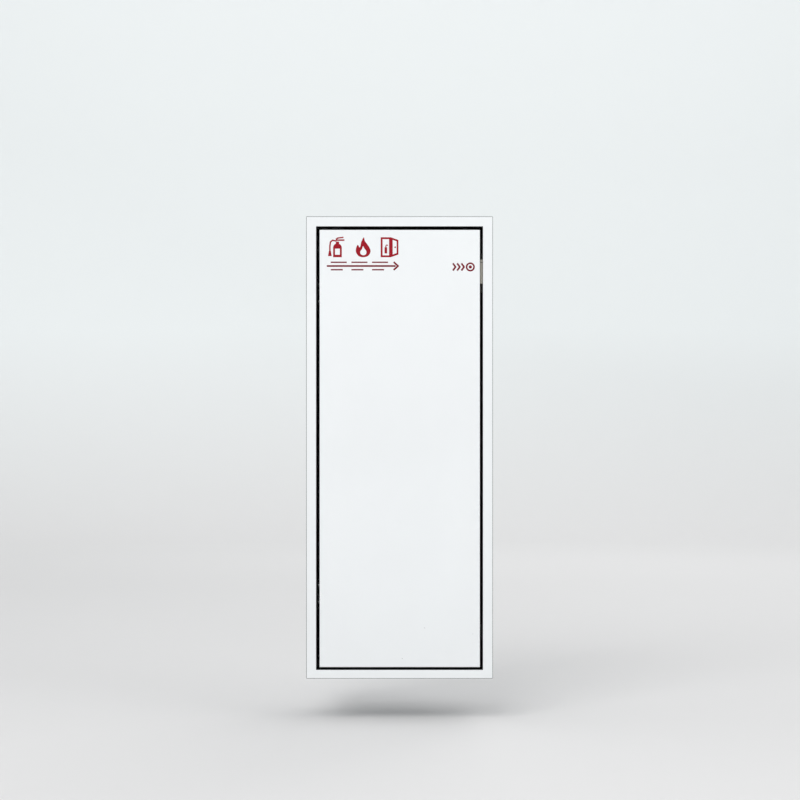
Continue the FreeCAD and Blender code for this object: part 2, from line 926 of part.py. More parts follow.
def make_door_hardware():
    washers = []
    studs = []
    nuts = []
    for hinge in (d.hinge_low, d.hinge_high):
        for low in (hinge + d.ear_gap - d.washer_thick, hinge - d.ear_gap):
            ring = solid_cylinder(d.washer_radius, d.washer_thick, pivot_x, pivot_y, low)
            bore = solid_cylinder(d.pin_radius, d.washer_thick, pivot_x, pivot_y, low)
            washers.append(cut(ring, bore))
        for side in (-1, 1):
            x = pivot_x + d.stud_along
            z = hinge + side * d.stud_half
            seat = door_inner + d.ear_sheet
            studs.append(solid_cylinder(d.stud_radius, d.stud_long, x, door_inner, z, ALONG_Y))
            bore = solid_cylinder(d.stud_radius, d.nut_thick, x, seat, z, ALONG_Y)
            nuts.append(cut(solid_hex(d.nut_radius, d.nut_thick, x, seat, z, ALONG_Y), bore))
    group(washers, "hinge_washers")
    group(studs, "bracket_studs")
    group(nuts, "bracket_nuts")


def make_striker():
    """The steel plate that the latch's magnet holds, with its countersunk screws."""
    x = d.latch_axis + 1
    tall = (latch_low, latch_high)
    plate = solid_block((x - d.strike_half_wide, x + d.strike_half_wide), (door_back, strike_back), tall)
    turn = ALONG_Y.multiply(FreeCAD.Rotation(FreeCAD.Vector(1, 0, 0), 180))
    sinks = []
    screws = []
    for side in (-1, 1):
        z = d.latch_centre + side * d.strike_screw_half
        head = (d.strike_head_radius, d.screw_radius, d.strike_thick, x, strike_back, z, turn)
        sinks.append(solid_cone(*head))
        shank = solid_cylinder(d.screw_radius, d.strike_screw_long, x, strike_back, z, turn)
        screws.append(fuse([solid_cone(*head), shank]))
    keep(cut(plate, fuse(sinks)), "striker_plate")
    group(screws, "striker_screws")


# ---- push latch ----


def make_latch_housing():
    body = new_body("latch_housing")
    axis = d.latch_axis
    case = new_sketch(body, "XZ_Plane", d.latch_front)
    draw_box(case, d.latch_inner, latch_low, hole_half, latch_high)
    add_pad(body, case, d.latch_back - d.latch_front)
    cheek = new_sketch(body, "XZ_Plane", d.cheek_front)
    draw_box(cheek, d.cheek_inner, latch_low, hole_half, latch_high)
    add_pad(body, cheek, d.latch_front - d.cheek_front)
    ears = new_sketch(body, "YZ_Plane", lining_half)
    ear_low = d.latch_centre - d.latch_ear_half
    draw_box(ears, d.latch_ear_front, ear_low, d.latch_ear_back, d.latch_centre + d.latch_ear_half)
    add_pad(body, ears, d.latch_ear, -1)
    cavity = new_sketch(body, "XZ_Plane", d.latch_back)
    low = d.latch_centre - d.cavity_half
    high = d.latch_centre + d.cavity_half
    draw_box(cavity, axis - d.cavity_half, low, axis + d.cavity_half, high)
    cut_pocket(body, cavity, d.latch_back - d.latch_front - d.latch_wall, -1)
    window = new_sketch(body, "XZ_Plane", d.latch_front)
    reach = d.plunger_half + d.plunger_play
    draw_box(window, axis - reach, d.latch_centre - reach, axis + reach, d.latch_centre + reach)
    cut_pocket(body, window, d.latch_wall)
    pivot = new_sketch(body, "XY_Plane", high)
    draw_circle(pivot, axis, d.follower_pivot, d.follower_radius + d.follower_play)
    cut_pocket(body, pivot, d.latch_half - d.cavity_half)
    holes = new_sketch(body, "YZ_Plane", lining_half)
    for side in (-1, 1):
        draw_circle(holes, d.latch_screw_depth, d.latch_centre + side * d.latch_screw_half, d.screw_hole)
    cut_pocket(body, holes, d.latch_ear, -1)
    groove = new_sketch(body, "XZ_Plane", d.cheek_front)
    groove_low = d.latch_centre + d.cheek_groove_up
    draw_box(groove, d.cheek_inner, groove_low, hole_half, groove_low + d.cheek_groove)
    cut_pocket(body, groove, d.cheek_groove)


def make_latch_cap():
    half = d.cavity_half
    front = d.latch_back - d.cap_thick
    wide = (d.latch_axis - half, d.latch_axis + half)
    tall = (d.latch_centre - half, d.latch_centre + half)
    plate = solid_block(wide, (front, d.latch_back), tall)
    start = front - d.cap_boss
    boss = solid_cylinder(d.tail_radius, d.cap_boss, d.latch_axis, start, d.latch_centre, ALONG_Y)
    keep(fuse([plate, boss]), "latch_cap")


def make_latch_plunger():
    """The sliding plunger, with the magnet's pocket in front and the follower's track on top."""
    body = new_body("latch_plunger")
    axis = d.latch_axis
    mid = d.latch_centre
    half = d.plunger_half
    top = mid + half
    collar = d.cavity_half - d.plunger_play
    bar = new_sketch(body, "XZ_Plane", d.plunger_front)
    draw_box(bar, axis - half, mid - half, axis + half, top)
    add_pad(body, bar, d.plunger_collar - d.plunger_front)
    ring = new_sketch(body, "XZ_Plane", d.plunger_collar)
    draw_box(ring, axis - collar, mid - collar, axis + collar, mid + collar)
    add_pad(body, ring, d.plunger_collar_back - d.plunger_collar)
    tail = draw_circle(new_sketch(body, "XZ_Plane", d.plunger_collar_back), axis, mid, d.tail_radius)
    add_pad(body, tail, d.plunger_tail - d.plunger_collar_back)
    pocket = new_sketch(body, "XZ_Plane", d.plunger_front)
    wide = d.magnet_half_wide
    tall = d.magnet_half_high + d.pole_thick
    draw_box(pocket, axis - wide, mid - tall, axis + wide, mid + tall)
    cut_pocket(body, pocket, d.magnet_back - d.plunger_front)
    track = new_sketch(body, "XY_Plane", top)
    draw_outline(
        track,
        [
            (axis - d.track_half, d.track_front),
            (axis + d.track_half, d.track_front),
            (axis + d.track_half, d.plunger_collar),
            (axis + d.island_half, d.plunger_collar),
            (axis + d.island_half, d.track_stop),
            (axis - d.island_half, d.track_stop),
            (axis - d.island_half, d.plunger_collar),
            (axis - d.track_half, d.plunger_collar),
        ],
    )
    cut_pocket(body, track, d.track_deep, -1)
    gap = new_sketch(body, "XZ_Plane", d.plunger_collar)
    draw_box(gap, axis - d.notch_clear, top, axis + d.notch_clear, mid + d.cavity_half)
    cut_pocket(body, gap, d.plunger_collar_back - d.plunger_collar)


def make_latch_magnet():
    wide = (d.latch_axis - d.magnet_half_wide, d.latch_axis + d.magnet_half_wide)
    mid = d.latch_centre
    core = d.magnet_half_high
    magnet_front = d.plunger_front + d.magnet_set_back
    keep(solid_block(wide, (magnet_front, d.magnet_back), (mid - core, mid + core)), "latch_magnet")
    poles = (strike_back + d.pole_gap, d.magnet_back)
    outer = core + d.pole_thick
    upper = solid_block(wide, poles, (mid + core, mid + outer))
    lower = solid_block(wide, poles, (mid - outer, mid - core))
    group([upper, lower], "pole_plates")


def make_cam_follower():
    """A wire finger that swings in the housing and holds the plunger behind the track's island."""
    axis = d.latch_axis
    low = d.latch_centre + d.follower_low
    thick = d.follower_half * 2
    wide = (axis - d.follower_half, axis + d.follower_half)
    arm = solid_block(wide, (d.follower_tip, d.follower_pivot), (low, low + thick))
    pin_long = d.follower_pin_up - d.follower_low
    pin = solid_cylinder(d.follower_radius, pin_long, axis, d.follower_pivot, low)
    tip_low = d.latch_centre + d.plunger_half - d.track_deep + d.follower_half
    tip = solid_cylinder(d.follower_radius, low + thick - tip_low, axis, d.follower_tip, tip_low)
    keep(fuse([arm, pin, tip]), "cam_follower")


def make_latch_spring():
    low = d.plunger_collar_back
    high = d.latch_back - d.cap_thick
    coil = solid_coil(
        d.latch_coil, d.latch_wire, low, high, d.latch_turns, d.latch_axis, 0, ALONG_Y, d.latch_centre
    )
    keep(coil, "latch_spring")


# ---- extinguisher ----


def on_bottle(label, points):
    """A body turned about the extinguisher's upright axis."""
    return turned(label, points, d.bottle_x, d.bottle_y)


def bottle_body(label):
    return new_body(label, d.bottle_x, d.bottle_y)


def make_bottle():
    wall = d.bottle_wall
    outer = d.bottle_radius
    low = bottle_bottom
    corner = d.bottle_corner
    knee = d.shoulder + d.knee_rise
    crown = d.shoulder + d.crown_rise
    on_bottle(
        "bottle",
        [
            (0, low),
            (outer - corner, low, corner),
            (outer, low + corner),
            (outer, d.shoulder, d.knuckle_radius),
            (d.knee_radius, knee, d.crown_radius),
            (d.neck_radius, crown),
            (d.neck_radius, d.neck_top),
            (d.neck_radius - wall, d.neck_top),
            (d.neck_radius - wall, crown - wall, wall - d.crown_radius),
            (d.knee_radius - wall / 2, knee - wall * 0.87, wall - d.knuckle_radius),
            (outer - wall, d.shoulder),
            (outer - wall, low + corner, wall - corner),
            (outer - corner, low + wall),
            (0, low + wall),
        ],
    )


def make_boot():
    """The plastic foot ring, which hugs the bottle's bottom corner."""
    corner = d.bottle_corner
    inner = d.bottle_radius - corner
    on_bottle(
        "boot",
        [
            (inner, floor_top),
            (d.boot_radius - d.boot_chamfer / 2, floor_top),
            (d.boot_radius, floor_top + d.boot_chamfer / 2),
            (d.boot_radius, boot_top - d.boot_chamfer),
            (d.bottle_radius, boot_top),
            (d.bottle_radius, bottle_bottom + corner, -corner),
            (inner, bottle_bottom),
        ],
    )


def make_contents():
    play = d.powder_play
    wall = d.bottle_wall + play
    corner = d.bottle_corner
    low = bottle_bottom + wall
    tube = d.tube_radius + play
    on_bottle(
        "powder_charge",
        [
            (tube, low),
            (d.bottle_radius - corner, low, corner - wall),
            (d.bottle_radius - wall, bottle_bottom + corner),
            (d.bottle_radius - wall, d.powder_top),
            (tube, d.powder_top),
        ],
    )
    inner = d.tube_radius - d.tube_wall
    on_bottle("siphon_tube", ring_points(inner, d.tube_radius, d.tube_bottom, d.tube_top))


def make_valve_body():
    """The cast valve: tail, clamping flange, column, handle block, outlet and gauge bosses."""
    body = on_bottle(
        "valve_body",
        [
            (d.tube_radius, d.tail_bottom),
            (d.tail_outer, d.tail_bottom),
            (d.tail_outer, flange_bottom),
            (d.flange_radius, flange_bottom),
            (d.flange_radius, flange_top),
            (d.column_radius, flange_top),
            (d.column_radius, d.column_top),
            (d.chamber_radius, d.column_top),
            (d.chamber_radius, d.block_top),
            (d.stem_radius + d.stem_play, d.block_top),
            (d.stem_radius + d.stem_play, d.column_top),
            (d.seat_radius, d.column_top),
            (d.seat_radius, d.seat_height),
            (d.chamber_radius, d.seat_height),
            (d.chamber_radius, d.tube_top),
            (d.tube_radius, d.tube_top),
        ],
    )
    block = draw_handle_root(new_sketch(body, "XZ_Plane", -d.block_half), d.block_bottom, d.block_left)
    add_pad(body, block, d.block_half * 2)
    outlet = new_sketch(body, "YZ_Plane", d.outlet_start)
    draw_circle(outlet, 0, d.outlet_height, d.outlet_radius)
    add_pad(body, outlet, d.outlet_end - d.outlet_start)
    boss = new_sketch(body, "XZ_Plane", -d.outlet_start)
    draw_circle(boss, 0, d.gauge_height, d.gauge_boss)
    add_pad(body, boss, d.gauge_boss_end - d.outlet_start, -1)
    guide = new_sketch(body, "XY_Plane", d.block_top)
    draw_circle(guide, 0, 0, d.stem_radius + d.stem_play)
    cut_pocket(body, guide, d.block_top - d.column_top, -1)
    bore = new_sketch(body, "YZ_Plane", d.outlet_end)
    draw_circle(bore, 0, d.outlet_height, d.outlet_bore)
    cut_pocket(body, bore, d.outlet_end - d.stem_radius, -1)
    port = new_sketch(body, "XZ_Plane", -d.gauge_boss_end)
    draw_circle(port, 0, d.gauge_height, d.gauge_bore)
    cut_pocket(body, port, d.gauge_boss_end - d.seat_radius)
    cross_holes(body, d.block_half)


def draw_handle_root(sketch, low, left):
    """The outline round the lever's pivot that the valve's block and the handle's cheeks share."""
    x = d.lever_pivot_along
    z = d.lever_pivot_height
    nose = d.pivot_boss
    return draw_outline(
        sketch,
        [
            (-left, low),
            (x + nose, low),
            (x + nose, z, nose),
            (x, z + nose, nose),
            (x - nose, z),
            (x - nose, d.block_top),
            (-left, d.block_top),
        ],
    )


def cross_holes(body, half):
    """The lever pin's and the rivet's holes, right through a part that is 2 x half wide."""
    holes = new_sketch(body, "XZ_Plane", -half)
    draw_circle(holes, d.lever_pivot_along, d.lever_pivot_height, d.pin_radius)
    draw_circle(holes, -d.rivet_along, d.rivet_height, d.pin_radius)
    cut_pocket(body, holes, half * 2)


def make_neck_fittings():
    gasket_outer = d.neck_radius - d.gasket_inset
    on_bottle("neck_gasket", ring_points(d.gasket_inner, gasket_outer, d.neck_top, flange_bottom))
    inner = d.neck_radius + d.cap_play
    collar = d.column_radius + d.cap_play * 3
    body = on_bottle(
        "cap_nut",
        [
            (inner, d.cap_bottom),
            (d.cap_outer, d.cap_bottom),
            (d.cap_outer, cap_top - 1),
            (d.cap_outer - 1, cap_top),
            (collar, cap_top),
            (collar, flange_top),
            (inner, flange_top),
        ],
    )
    groove = new_sketch(body, "XY_Plane", d.cap_bottom)
    draw_circle(groove, d.cap_outer + d.cap_grip_radius / 4, 0, d.cap_grip_radius)
    pocket = cut_pocket(body, groove, cap_top - d.cap_bottom)
    pattern = body.newObject("PartDesign::PolarPattern", "Grips")
    pattern.Originals = [pocket]
    pattern.Axis = (groove, ["N_Axis"])
    pattern.Angle = 360
    pattern.setExpression("Occurrences", d.cap_grips.formula)
    body.Tip = pattern


def make_stem():
    tip = d.stem_tip
    on_bottle(
        "valve_stem",
        [
            (0, d.disc_bottom),
            (d.disc_radius, d.disc_bottom),
            (d.disc_radius, d.disc_top),
            (d.stem_radius, d.disc_top),
            (d.stem_radius, d.stem_top - tip),
            (d.stem_radius - tip, d.stem_top),
            (0, d.stem_top),
        ],
    )
    on_bottle("stem_seal", ring_points(d.stem_radius, d.seal_radius, d.disc_top, d.disc_top + d.seal_thick))
    coil = solid_coil(
        d.valve_coil, d.valve_wire, d.tube_top, d.disc_bottom, d.valve_turns, d.bottle_x, d.bottle_y
    )
    keep(coil, "valve_spring")


def make_carry_handle():
    """The fixed lower grip: a channel, open upwards, whose cheeks clasp the valve's block."""
    body = bottle_body("carry_handle")
    end = d.handle_end
    low = d.handle_low
    sheet = d.cheek_sheet
    nose = d.pivot_boss
    x = d.lever_pivot_along
    z = d.lever_pivot_height
    root = d.column_radius + d.handle_clear
    tip = d.handle_tip_long - end
    side = new_sketch(body, "XZ_Plane", -handle_half)
    draw_outline(
        side,
        [
            (-d.handle_belly, low),
            (-root, low + d.handle_root_high),
            (-root, d.block_bottom + d.handle_block_lap),
            (x + nose, d.block_bottom + d.handle_block_lap),
            (x + nose, z, nose),
            (x, z + nose, nose),
            (x - nose, z),
            (x - nose - d.handle_cheek_slope, d.block_top + d.handle_cheek_lap),
            (-d.handle_shoulder, low + d.handle_shoulder_high),
            (d.handle_tip_corner - end, low + d.handle_tip_high, d.handle_tip_corner),
            (-end, low + d.handle_tip_wall),
            (-end, low + d.handle_tip_bend, d.handle_tip_long),
            (tip, low + d.handle_tip_low),
        ],
    )
    add_pad(body, side, handle_half * 2)
    groove = new_sketch(body, "XZ_Plane", -d.block_half)
    draw_outline(
        groove,
        [
            (-d.handle_belly, low + sheet),
            (-root, low + d.handle_root_high + sheet),
            (-root, low),
            (x + nose * 2, low),
            (x + nose * 2, z + nose * 2),
            (sheet - end, z + nose * 2),
            (sheet - end, low + d.handle_tip_bend + sheet),
            (tip, low + d.handle_tip_low + sheet),
        ],
    )
    cut_pocket(body, groove, d.block_half * 2)
    cross_holes(body, handle_half)


def headed_pin(label, x, z, half, head_radius, head):
    """A pin or rivet through the handle along Y, with a head at each end."""
    long = (half + head) * 2
    shank = solid_cylinder(d.pin_radius, long, x, d.bottle_y - long / 2, z, ALONG_Y)
    heads = [
        solid_cylinder(head_radius, head, x, d.bottle_y + start, z, ALONG_Y) for start in (half, -half - head)
    ]
    keep(fuse([shank] + heads), label)


def make_handle_pins():
    pivot = d.bottle_x + d.lever_pivot_along
    lever_face = lever_half + d.lever_play
    headed_pin("lever_pin", pivot, d.lever_pivot_height, lever_face, d.pin_head_radius, d.lever_pin_head)
    rivet = d.bottle_x - d.rivet_along
    headed_pin("handle_rivet", rivet, d.rivet_height, handle_half, d.pin_head_radius, d.rivet_head)


def make_operating_lever():
    """The upper grip: a channel, open downwards, drawn level about its own pivot and tilted up at rest."""
    tilt = FreeCAD.Rotation(FreeCAD.Vector(0, 1, 0), SIZES["lever_tilt"])
    pivot = d.bottle_x + d.lever_pivot_along
    body = new_body("operating_lever", pivot, d.bottle_y, d.lever_pivot_height, tilt)
    body.setExpression("Placement.Rotation.Angle", d.lever_tilt.formula + " * 1deg")
    nose = d.lever_boss
    top = d.lever_top
    end = d.lever_end
    tip = d.lever_tip_long - end
    inner_end = d.lever_sheet - end
    under = top - d.lever_sheet
    side = new_sketch(body, "XZ_Plane", -lever_half)
    draw_outline(
        side,
        [
            (0, -nose, nose),
            (nose, 0),
            (nose, top - d.lever_crop),
            (nose - d.lever_crop, top),
            (tip, top, d.lever_tip_long),
            (-end, 0),
            (d.lever_tip_edge - end, -d.lever_tip_edge),
            (tip, -d.lever_tip_edge),
            (-d.lever_belly, -d.lever_skirt),
        ],
    )
    add_pad(body, side, lever_half * 2)
    channel = new_sketch(body, "XZ_Plane", -lever_inner)
    draw_outline(
        channel,
        [
            (inner_end, -top * 2),
            (nose * 2, -top * 2),
            (nose * 2, under),
            (tip, under, d.lever_tip_bend),
            (inner_end, 0),
        ],
    )
    cut_pocket(body, channel, lever_inner * 2)
    bore = new_sketch(body, "XZ_Plane", -lever_half)
    draw_circle(bore, 0, 0, d.pin_radius + d.lever_pin_play)
    cut_pocket(body, bore, lever_half * 2)
    slot = new_sketch(body, "XY_Plane", top)
    draw_box(slot, -d.slot_end, -d.slot_half, -d.slot_start, d.slot_half)
    cut_pocket(body, slot, d.lever_sheet, -1)


def make_safety_pin():
    x = d.bottle_x - d.pull_along
    y = d.bottle_y
    head = d.pull_head_bottom
    prong = solid_cylinder(d.prong_radius, head - d.prong_bottom, x, y, d.prong_bottom)
    collar = solid_cylinder(d.pull_head_radius, d.pull_head_thick, x, y, head)
    ring_height = head + d.pull_head_thick + d.ring_radius
    ring = solid_torus(d.ring_radius, d.ring_wire, x, y, ring_height, ALONG_Y)
    keep(fuse([prong, collar, ring]), "safety_pin")


# ---- pressure gauge ----


def gauge_body(label):
    """A body whose own XY origin is the gauge's axis: y runs back from the extinguisher's axis."""
    return new_body(label, d.bottle_x, d.bottle_y, d.gauge_height)


def gauge_turned(label, points):
    """A body turned about the gauge's axis from (distance forward, radius) points."""
    body = gauge_body(label)
    revolve(body, "YZ_Plane", [(-forward, radius) for forward, radius in points], "H_Axis")
    return body


def gauge_cylinder(radius, front, back):
    y = d.bottle_y - front
    return solid_cylinder(radius, front - back, d.bottle_x, y, d.gauge_height, ALONG_Y)


def make_gauge():
    inner = d.case_radius - d.case_wall
    floor = d.case_back + d.case_wall
    gauge_turned(
        "gauge_case",
        [
            (d.case_back, d.nipple_bore),
            (d.case_back, d.case_radius),
            (d.lens_back, d.case_radius),
            (d.lens_back, inner),
            (floor, inner),
            (floor, d.nipple_bore),
        ],
    )
    y = d.bottle_y - d.case_back
    length = d.case_back - d.gauge_boss_end
    collar = solid_hex(d.nipple_radius, length, d.bottle_x, y, d.gauge_height, ALONG_Y)
    plug = gauge_cylinder(d.gauge_bore, d.gauge_boss_end, d.outlet_start)
    bore = gauge_cylinder(d.nipple_bore, d.case_back, d.outlet_start)
    keep(cut(fuse([collar, plug]), bore), "gauge_nipple")
    loop_y = d.bottle_y - d.tube_loop_depth
    loop = solid_torus(
        d.tube_loop, d.tube_loop_wire, d.bottle_x, loop_y, d.gauge_height, ALONG_Y, sweep=270
    )
    keep(loop, "bourdon_tube")
    dial_back = d.dial_front - d.dial_thick
    face = gauge_cylinder(inner, d.dial_front, dial_back)
    hole = gauge_cylinder(d.needle_shaft + d.dial_play, d.dial_front, dial_back)
    keep(cut(face, hole), "gauge_dial")
    keep(gauge_cylinder(d.case_radius, d.lens_back + d.lens_thick, d.lens_back), "gauge_lens")
    front = d.lens_back + d.lens_thick
    gauge_turned(
        "gauge_bezel",
        [
            (d.bezel_back, d.case_radius),
            (d.bezel_back, d.bezel_radius),
            (front, d.bezel_radius),
            (front + d.bezel_lip, d.bezel_radius - d.bezel_lip),
            (front + d.bezel_lip, d.bezel_window + d.bezel_lip / 2),
            (front, d.bezel_window),
            (front, d.case_radius),
        ],
    )


def make_gauge_needle():
    body = gauge_body("gauge_needle")
    hub = draw_circle(new_sketch(body, "XZ_Plane", -d.needle_back), 0, 0, d.needle_hub)
    add_pad(body, hub, d.needle_thick, -1)
    pointer = new_sketch(body, "XZ_Plane", -d.needle_back)
    root = d.needle_shaft
    tip = root / 4
    low = -d.needle_tail
    high = d.needle_long
    draw_outline(pointer, [(-root, low), (root, low), (tip, high), (-tip, high)])
    add_pad(body, pointer, d.needle_thick, -1)
    shaft = draw_circle(new_sketch(body, "XZ_Plane", -d.needle_back), 0, 0, d.needle_shaft)
    add_pad(body, shaft, d.needle_back - d.needle_shaft_end)


# ---- hose and nozzle ----


def outlet_cylinder(radius, start, end):
    x = d.bottle_x + start
    return solid_cylinder(radius, end - start, x, d.bottle_y, d.outlet_height, ALONG_X)


def hose_shape(radius, start, bottom):
    """The hose's path at one radius: out along X, a quarter bend, and down beside the bottle."""
    x = d.bottle_x + d.hose_axis
    first = outlet_cylinder(radius, start, d.hose_bend_start)
    bend_x = d.bottle_x + d.hose_bend_start
    bend = solid_torus(hose_bend, radius, bend_x, d.bottle_y, hose_bend_low, ALONG_Y, sweep=90)
    bend.Placement.Rotation = FreeCAD.Rotation(FreeCAD.Vector(1, 0, 0), 90)
    drop = solid_cylinder(radius, hose_bend_low - bottom, x, d.bottle_y, bottom)
    return fuse([first, bend, drop])


def make_hose():
    tube = hose_shape(d.hose_radius, d.hose_start, d.hose_bottom)
    core = hose_shape(d.hose_bore, d.hose_start - d.hose_overrun, d.hose_bottom - d.hose_overrun)
    keep(cut(tube, core), "discharge_hose")
    hex_x = d.bottle_x + d.outlet_end
    hexagon = solid_hex(
        d.fitting_hex,
        d.fitting_hex_end - d.outlet_end,
        hex_x,
        d.bottle_y,
        d.outlet_height,
        ALONG_X,
    )
    plug = outlet_cylinder(d.outlet_bore, d.fitting_plug_start, d.outlet_end)
    shoulder = outlet_cylinder(d.hose_radius, d.fitting_hex_end, d.hose_start)
    barb = outlet_cylinder(d.hose_bore, d.hose_start, d.hose_bend_start)
    bore = outlet_cylinder(d.fitting_bore, d.fitting_plug_start, d.hose_bend_start)
    keep(cut(fuse([hexagon, plug, shoulder, barb]), bore), "hose_fitting")
    sleeve = outlet_cylinder(d.ferrule_radius, d.fitting_hex_end, d.hose_bend_start)
    inside = outlet_cylinder(d.hose_radius, d.fitting_hex_end, d.hose_bend_start)
    keep(cut(sleeve, inside), "hose_ferrule")


def make_nozzle():
    x = d.bottle_x + d.hose_axis
    low = d.nozzle_bottom
    mouth = d.nozzle_mouth
    waist = low + d.nozzle_taper
    turned(
        "nozzle",
        [
            (d.nozzle_bore, d.nozzle_top),
            (d.nozzle_bore, waist),
            (mouth - d.nozzle_wall, low + d.nozzle_flare),
            (mouth - d.nozzle_lip, low),
            (mouth, low),
            (mouth, low + d.nozzle_lip_high),
            (mouth - d.nozzle_lip_step, low + d.nozzle_lip_end),
            (d.nozzle_waist, waist),
            (d.nozzle_grip, waist + d.nozzle_step),
            (d.nozzle_grip, d.hose_bottom - d.nozzle_gap),
            (d.ferrule_radius, d.hose_bottom),
            (d.hose_bore, d.hose_bottom),
            (d.hose_bore, d.nozzle_top),
        ],
        x,
        d.bottle_y,
    )
    turned(
        "nozzle_ferrule",
        ring_points(d.hose_radius, d.ferrule_radius, d.hose_bottom, d.nozzle_top),
        x,
        d.bottle_y,
    )


def make_nozzle_clip():
    outer = d.bottle_radius + d.band_thick
    on_bottle("clip_band", ring_points(d.bottle_radius, outer, d.band_low, d.band_high))
    x = d.bottle_x + d.hose_axis
    low = d.band_low + d.clip_inset
    tall = d.band_high - d.clip_inset - low
    ring = solid_cylinder(d.clip_outer, tall, x, d.bottle_y, low)
    foot_start = d.bottle_x + outer
    foot = solid_block(
        (foot_start, x),
        (d.bottle_y - d.clip_mouth, d.bottle_y + d.clip_mouth),
        (low, low + tall),
    )
    bore = solid_cylinder(d.clip_inner, tall, x, d.bottle_y, low)
    mouth = solid_block(
        (x, x + d.clip_outer * 2),
        (d.bottle_y - d.clip_mouth, d.bottle_y + d.clip_mouth),
        (low, low + tall),
    )
    keep(cut(fuse([ring, foot]), fuse([bore, mouth])), "nozzle_clip")


# ---- build, check and write ----

make_front_frame()
make_box_wrap()
make_tray("box_floor", lining_low, 1)
make_tray("box_top", lining_high - d.box_sheet, -1)
make_hinge_arm("lower_hinge_arm", d.hinge_low)
make_hinge_arm("upper_hinge_arm", d.hinge_high)
make_side_fasteners()
make_door_stops()
make_door_panel()
make_door_stiffener()
make_hinge_bracket("lower_hinge_bracket", d.hinge_low)
make_hinge_bracket("upper_hinge_bracket", d.hinge_high)
make_hinge_pin("lower_hinge_pin", d.hinge_low)
make_hinge_pin("upper_hinge_pin", d.hinge_high)
make_door_hardware()
make_striker()
make_latch_housing()
make_latch_cap()
make_latch_plunger()
make_latch_magnet()
make_cam_follower()
make_latch_spring()
make_bottle()
make_boot()
make_contents()
make_valve_body()
make_neck_fittings()
make_stem()
make_carry_handle()
make_handle_pins()
make_operating_lever()
make_safety_pin()
make_gauge()
make_gauge_needle()
make_hose()
make_nozzle()
make_nozzle_clip()
doc.recompute()

for item in doc.Objects:
    if "Invalid" in item.State or "Error" in item.State:
        raise RuntimeError(f"{item.Label} failed: {item.State}")
for item in subparts:
    if item.Shape.isNull() or not item.Shape.isValid() or not item.Shape.Solids:
        raise RuntimeError(f"{item.Label} has no valid solid")

os.makedirs("parts", exist_ok=True)
for item in subparts:
    item.Shape.exportStep(f"parts/{item.Label}.step")
print(len(subparts), "sub-parts written")
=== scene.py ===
import json
import math

import bmesh
import bpy
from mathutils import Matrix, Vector
from mathutils.geometry import delaunay_2d_cdt


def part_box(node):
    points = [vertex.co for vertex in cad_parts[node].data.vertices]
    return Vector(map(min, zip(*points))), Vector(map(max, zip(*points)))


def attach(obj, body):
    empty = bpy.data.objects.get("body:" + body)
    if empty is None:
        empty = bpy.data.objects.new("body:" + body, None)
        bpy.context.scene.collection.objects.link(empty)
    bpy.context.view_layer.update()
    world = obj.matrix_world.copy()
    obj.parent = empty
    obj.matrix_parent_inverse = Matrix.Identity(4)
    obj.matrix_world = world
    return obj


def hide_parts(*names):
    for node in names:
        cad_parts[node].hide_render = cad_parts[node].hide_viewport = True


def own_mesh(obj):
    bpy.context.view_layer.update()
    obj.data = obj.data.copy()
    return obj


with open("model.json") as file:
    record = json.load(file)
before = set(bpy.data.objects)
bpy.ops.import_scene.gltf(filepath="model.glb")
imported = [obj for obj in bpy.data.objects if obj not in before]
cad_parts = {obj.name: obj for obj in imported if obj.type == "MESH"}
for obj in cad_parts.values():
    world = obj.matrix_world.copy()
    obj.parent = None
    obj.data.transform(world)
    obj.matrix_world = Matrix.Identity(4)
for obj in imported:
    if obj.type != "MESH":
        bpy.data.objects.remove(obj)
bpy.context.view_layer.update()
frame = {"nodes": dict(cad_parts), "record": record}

MM = 0.001
NODES = frame["nodes"]


# ---- the camera and the light ----

# Level and square to the door, so that the frame fills the picture as it does in the photo.
CAMERA_AT = Vector((0.0007, -3.0076, 0.4184))
CAMERA_LENS = 90


def aim(thing, target):
    thing.rotation_euler = (Vector(target) - thing.location).to_track_quat("-Z", "Y").to_euler()


def make_camera():
    camera = bpy.data.objects.new("camera", bpy.data.cameras.new("camera"))
    camera.data.lens = CAMERA_LENS
    camera.location = CAMERA_AT
    camera.rotation_euler = (math.pi / 2, 0, 0)
    bpy.context.scene.collection.objects.link(camera)
    bpy.context.scene.camera = camera


def make_world(colour, strength):
    world = bpy.data.worlds.new("studio")
    world.use_nodes = True
    background = world.node_tree.nodes["Background"]
    background.inputs["Color"].default_value = (*colour, 1)
    background.inputs["Strength"].default_value = strength
    bpy.context.scene.world = world


def make_lamp(name, place, target, size, power, spread=math.pi):
    lamp = bpy.data.lights.new(name, "AREA")
    lamp.shape = "RECTANGLE"
    lamp.size, lamp.size_y = size
    lamp.energy = power
    lamp.spread = spread
    thing = bpy.data.objects.new(name, lamp)
    bpy.context.scene.collection.objects.link(thing)
    thing.location = place
    aim(thing, target)


# ---- materials ----

SOCKET_NAMES = {"ior": "IOR", "specular_ior_level": "Specular IOR Level"}


